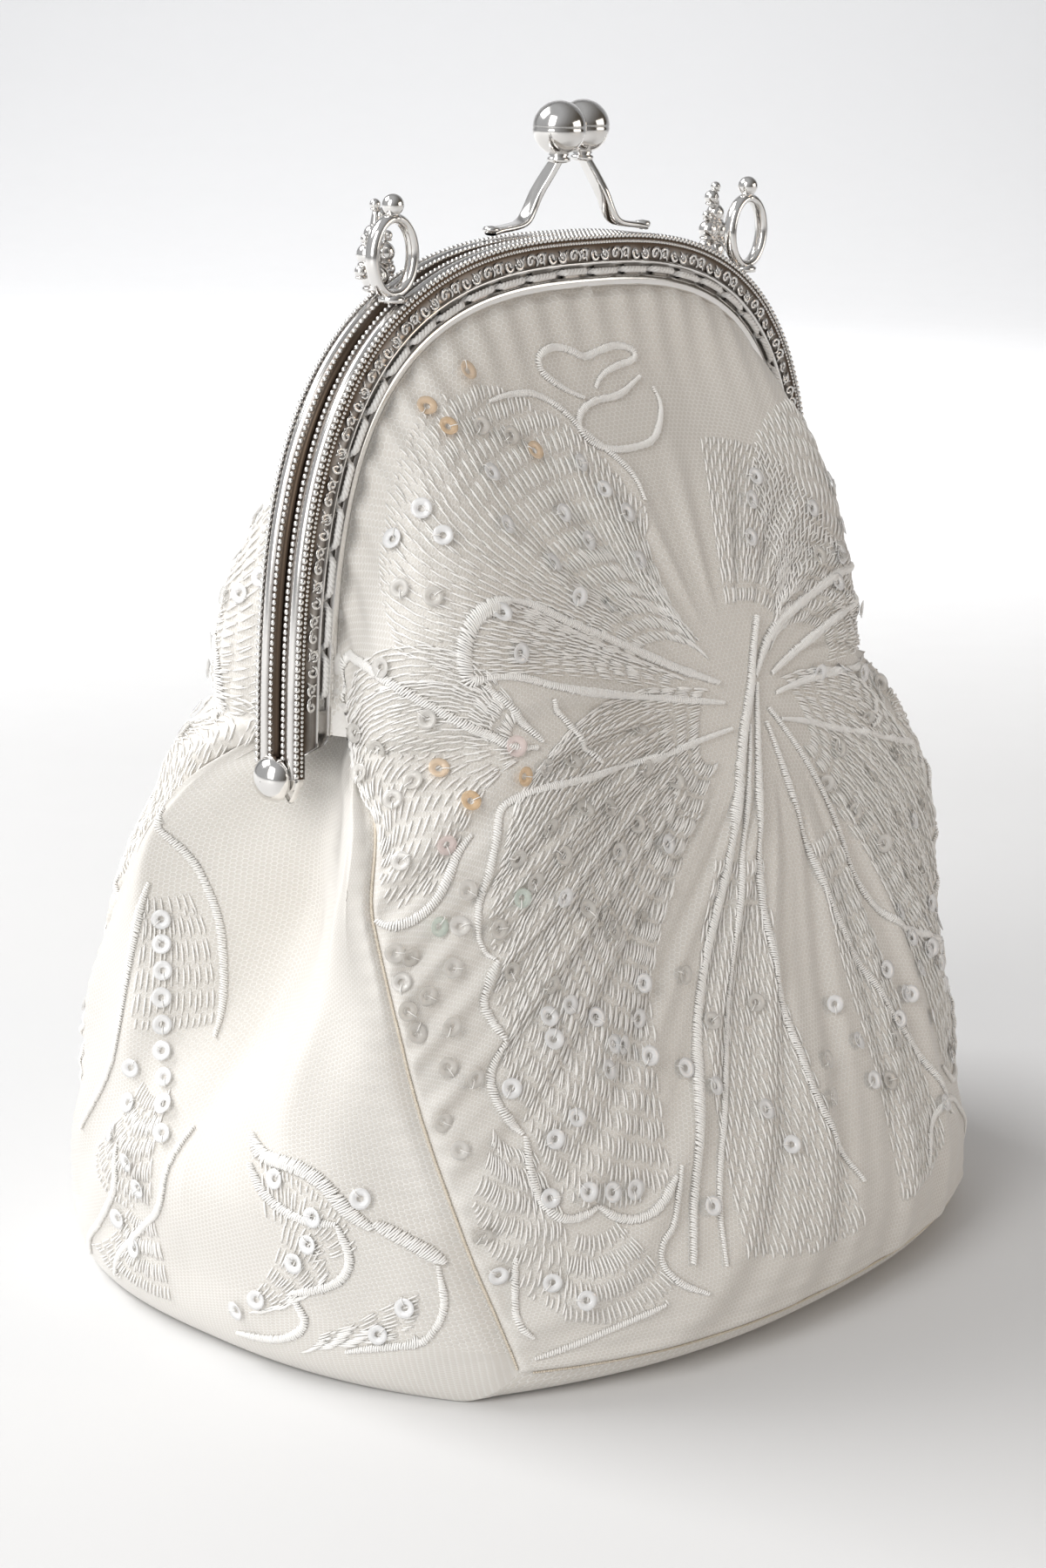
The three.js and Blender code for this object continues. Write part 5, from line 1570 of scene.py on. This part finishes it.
def floor_and_backdrop():
    """A pale sweep: floor that curves up far behind the bag, with painted shade near the bag and a painted falloff of
    light far behind it.
    """
    n = Nodes("paper_sweep")
    grain = n.noise(object_position(n), 60.0, 4.0)
    far = n.vector("DOT_PRODUCT", object_position(n), AWAY + (0.0,))
    paper = n.mix(grain, (0.90, 0.90, 0.90, 1), (0.93, 0.93, 0.93, 1))
    # Painted shade: the floor is grey from in front of the bag to a little behind it.
    paper = n.mix(n.ramp(far, -0.2, 0.7), (0.73, 0.73, 0.73, 1), paper)
    # Painted falloff of light: the sweep greys further behind the bag.
    n.set(Base_Color=n.mix(n.ramp(far, 0.7, 2.6), paper, (0.60, 0.605, 0.615, 1)), Roughness=0.7)
    n.set(Normal=n.bump(grain, 0.03, 0.001))
    away, beside = np.array(AWAY), np.array([AWAY[1], -AWAY[0]])
    rows = [(-1.6, 0.0), (0.0, 0.0), (SWEEP_START, 0.0)]
    rows += [(SWEEP_START + SWEEP_RADIUS * math.sin(q), SWEEP_RADIUS - SWEEP_RADIUS * math.cos(q))
             for q in np.linspace(0.1, math.pi / 2, 14)]
    rows += [(2.2, 3.2)]
    verts = [tuple(away * r + beside * w) + (z,) for r, z in rows for w in (-3.0, 3.0)]
    faces = [(2 * i, 2 * i + 1, 2 * i + 3, 2 * i + 2) for i in range(len(rows) - 1)]
    obj = new_object("paper_sweep", np.array(verts) / MM, faces, n.material)
    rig.stage(obj)


def area_light(name, place, aim, size, power, colour):
    data = bpy.data.lights.new(name, "AREA")
    data.shape = "RECTANGLE"
    data.size, data.size_y = size
    data.energy = power
    data.color = colour
    obj = bpy.data.objects.new(name, data)
    bpy.context.scene.collection.objects.link(obj)
    obj.location = place
    obj.rotation_mode = "QUATERNION"
    obj.rotation_quaternion = (Vector(aim) - Vector(place)).to_track_quat("-Z", "Y")


def lights():
    """Window light from the left, a weak warm room in front on the right, and a lit backdrop."""
    world = bpy.data.worlds.new("room")
    bpy.context.scene.world = world
    world.use_nodes = True
    tree = world.node_tree
    coord = tree.nodes.new("ShaderNodeTexCoord")
    dot = tree.nodes.new("ShaderNodeVectorMath")
    dot.operation = "DOT_PRODUCT"
    tree.links.new(coord.outputs["Generated"], dot.inputs[0])
    dot.inputs[1].default_value = WORLD_BRIGHT_SIDE
    halved = tree.nodes.new("ShaderNodeMath")
    halved.operation = "MULTIPLY_ADD"
    halved.inputs[1].default_value = 0.5
    halved.inputs[2].default_value = 0.5
    tree.links.new(dot.outputs["Value"], halved.inputs[0])
    ramp = tree.nodes.new("ShaderNodeValToRGB")
    tree.links.new(halved.outputs[0], ramp.inputs["Fac"])
    elements = ramp.color_ramp.elements
    elements[0].position, elements[0].color = WORLD_STOPS[0]
    elements[1].position, elements[1].color = WORLD_STOPS[-1]
    for position, colour in WORLD_STOPS[1:-1]:
        elements.new(position).color = colour
    background = tree.nodes["Background"]
    tree.links.new(ramp.outputs["Color"], background.inputs["Color"])
    background.inputs["Strength"].default_value = WORLD_STRENGTH
    for light in AREA_LIGHTS:
        area_light(*light)
    bpy.context.scene.view_settings.view_transform = "Standard"


CAMERA_AZIMUTH = math.radians(-49.45)
CAMERA_ELEVATION = math.radians(14.98)
CAMERA_ROLL = math.radians(1.57)
CAMERA_DISTANCE = 0.4762
CAMERA_TARGET = Vector((-0.00713, 0.0, 0.0729))
CAMERA_LENS = 68.6
CAMERA_SENSOR = 36


def camera():
    a, e, r = CAMERA_AZIMUTH, CAMERA_ELEVATION, CAMERA_ROLL
    back = Vector((math.sin(a) * math.cos(e), -math.cos(a) * math.cos(e), math.sin(e)))
    right = Vector((math.cos(a), math.sin(a), 0))
    up = back.cross(right)
    rolled_right = right * math.cos(r) + up * math.sin(r)
    rolled_up = up * math.cos(r) - right * math.sin(r)
    data = bpy.data.cameras.new("camera")
    data.lens = CAMERA_LENS
    data.sensor_width = CAMERA_SENSOR
    obj = bpy.data.objects.new("camera", data)
    bpy.context.scene.collection.objects.link(obj)
    turn = Matrix((rolled_right, rolled_up, back)).transposed().to_4x4()
    obj.matrix_world = Matrix.Translation(CAMERA_TARGET + back * CAMERA_DISTANCE) @ turn
    bpy.context.scene.camera = obj


# ---------------------------------------------------------------- the bag
for half in (FRONT, REAR):
    frame_half(half)
    frame_stitches(half)
    clasp(half)
    hinge(half)
    ear_loop(half)
    ear_crest(half)
hinge_lugs()

PANEL_CUT = (0.146, 0.168)
GUSSET_CUT = (0.052, 0.300)
for half in (FRONT, REAR):
    for cloth, sew, decorate, cut in ((panel_cloth(half), sew_panel, embroider_panel, PANEL_CUT),
                                      (gusset_cloth(half), sew_gusset, embroider_gusset, GUSSET_CUT)):
        layers = sew(cloth, half)
        stitched = decorate(cloth, half)
        for layer, trim in zip(layers, (stitched, [])):
            cloth.follow(layer)
            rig.sheet(layer, flat=cut, held="stretched", area=0.94 * cut[0] * cut[1], with_pieces=trim)

floor_and_backdrop()
lights()
camera()

with open("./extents.json", "w") as out:
    json.dump({"cad": [list(v) for v in cad_box], "visual": [list(v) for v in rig.bounds()]}, out)
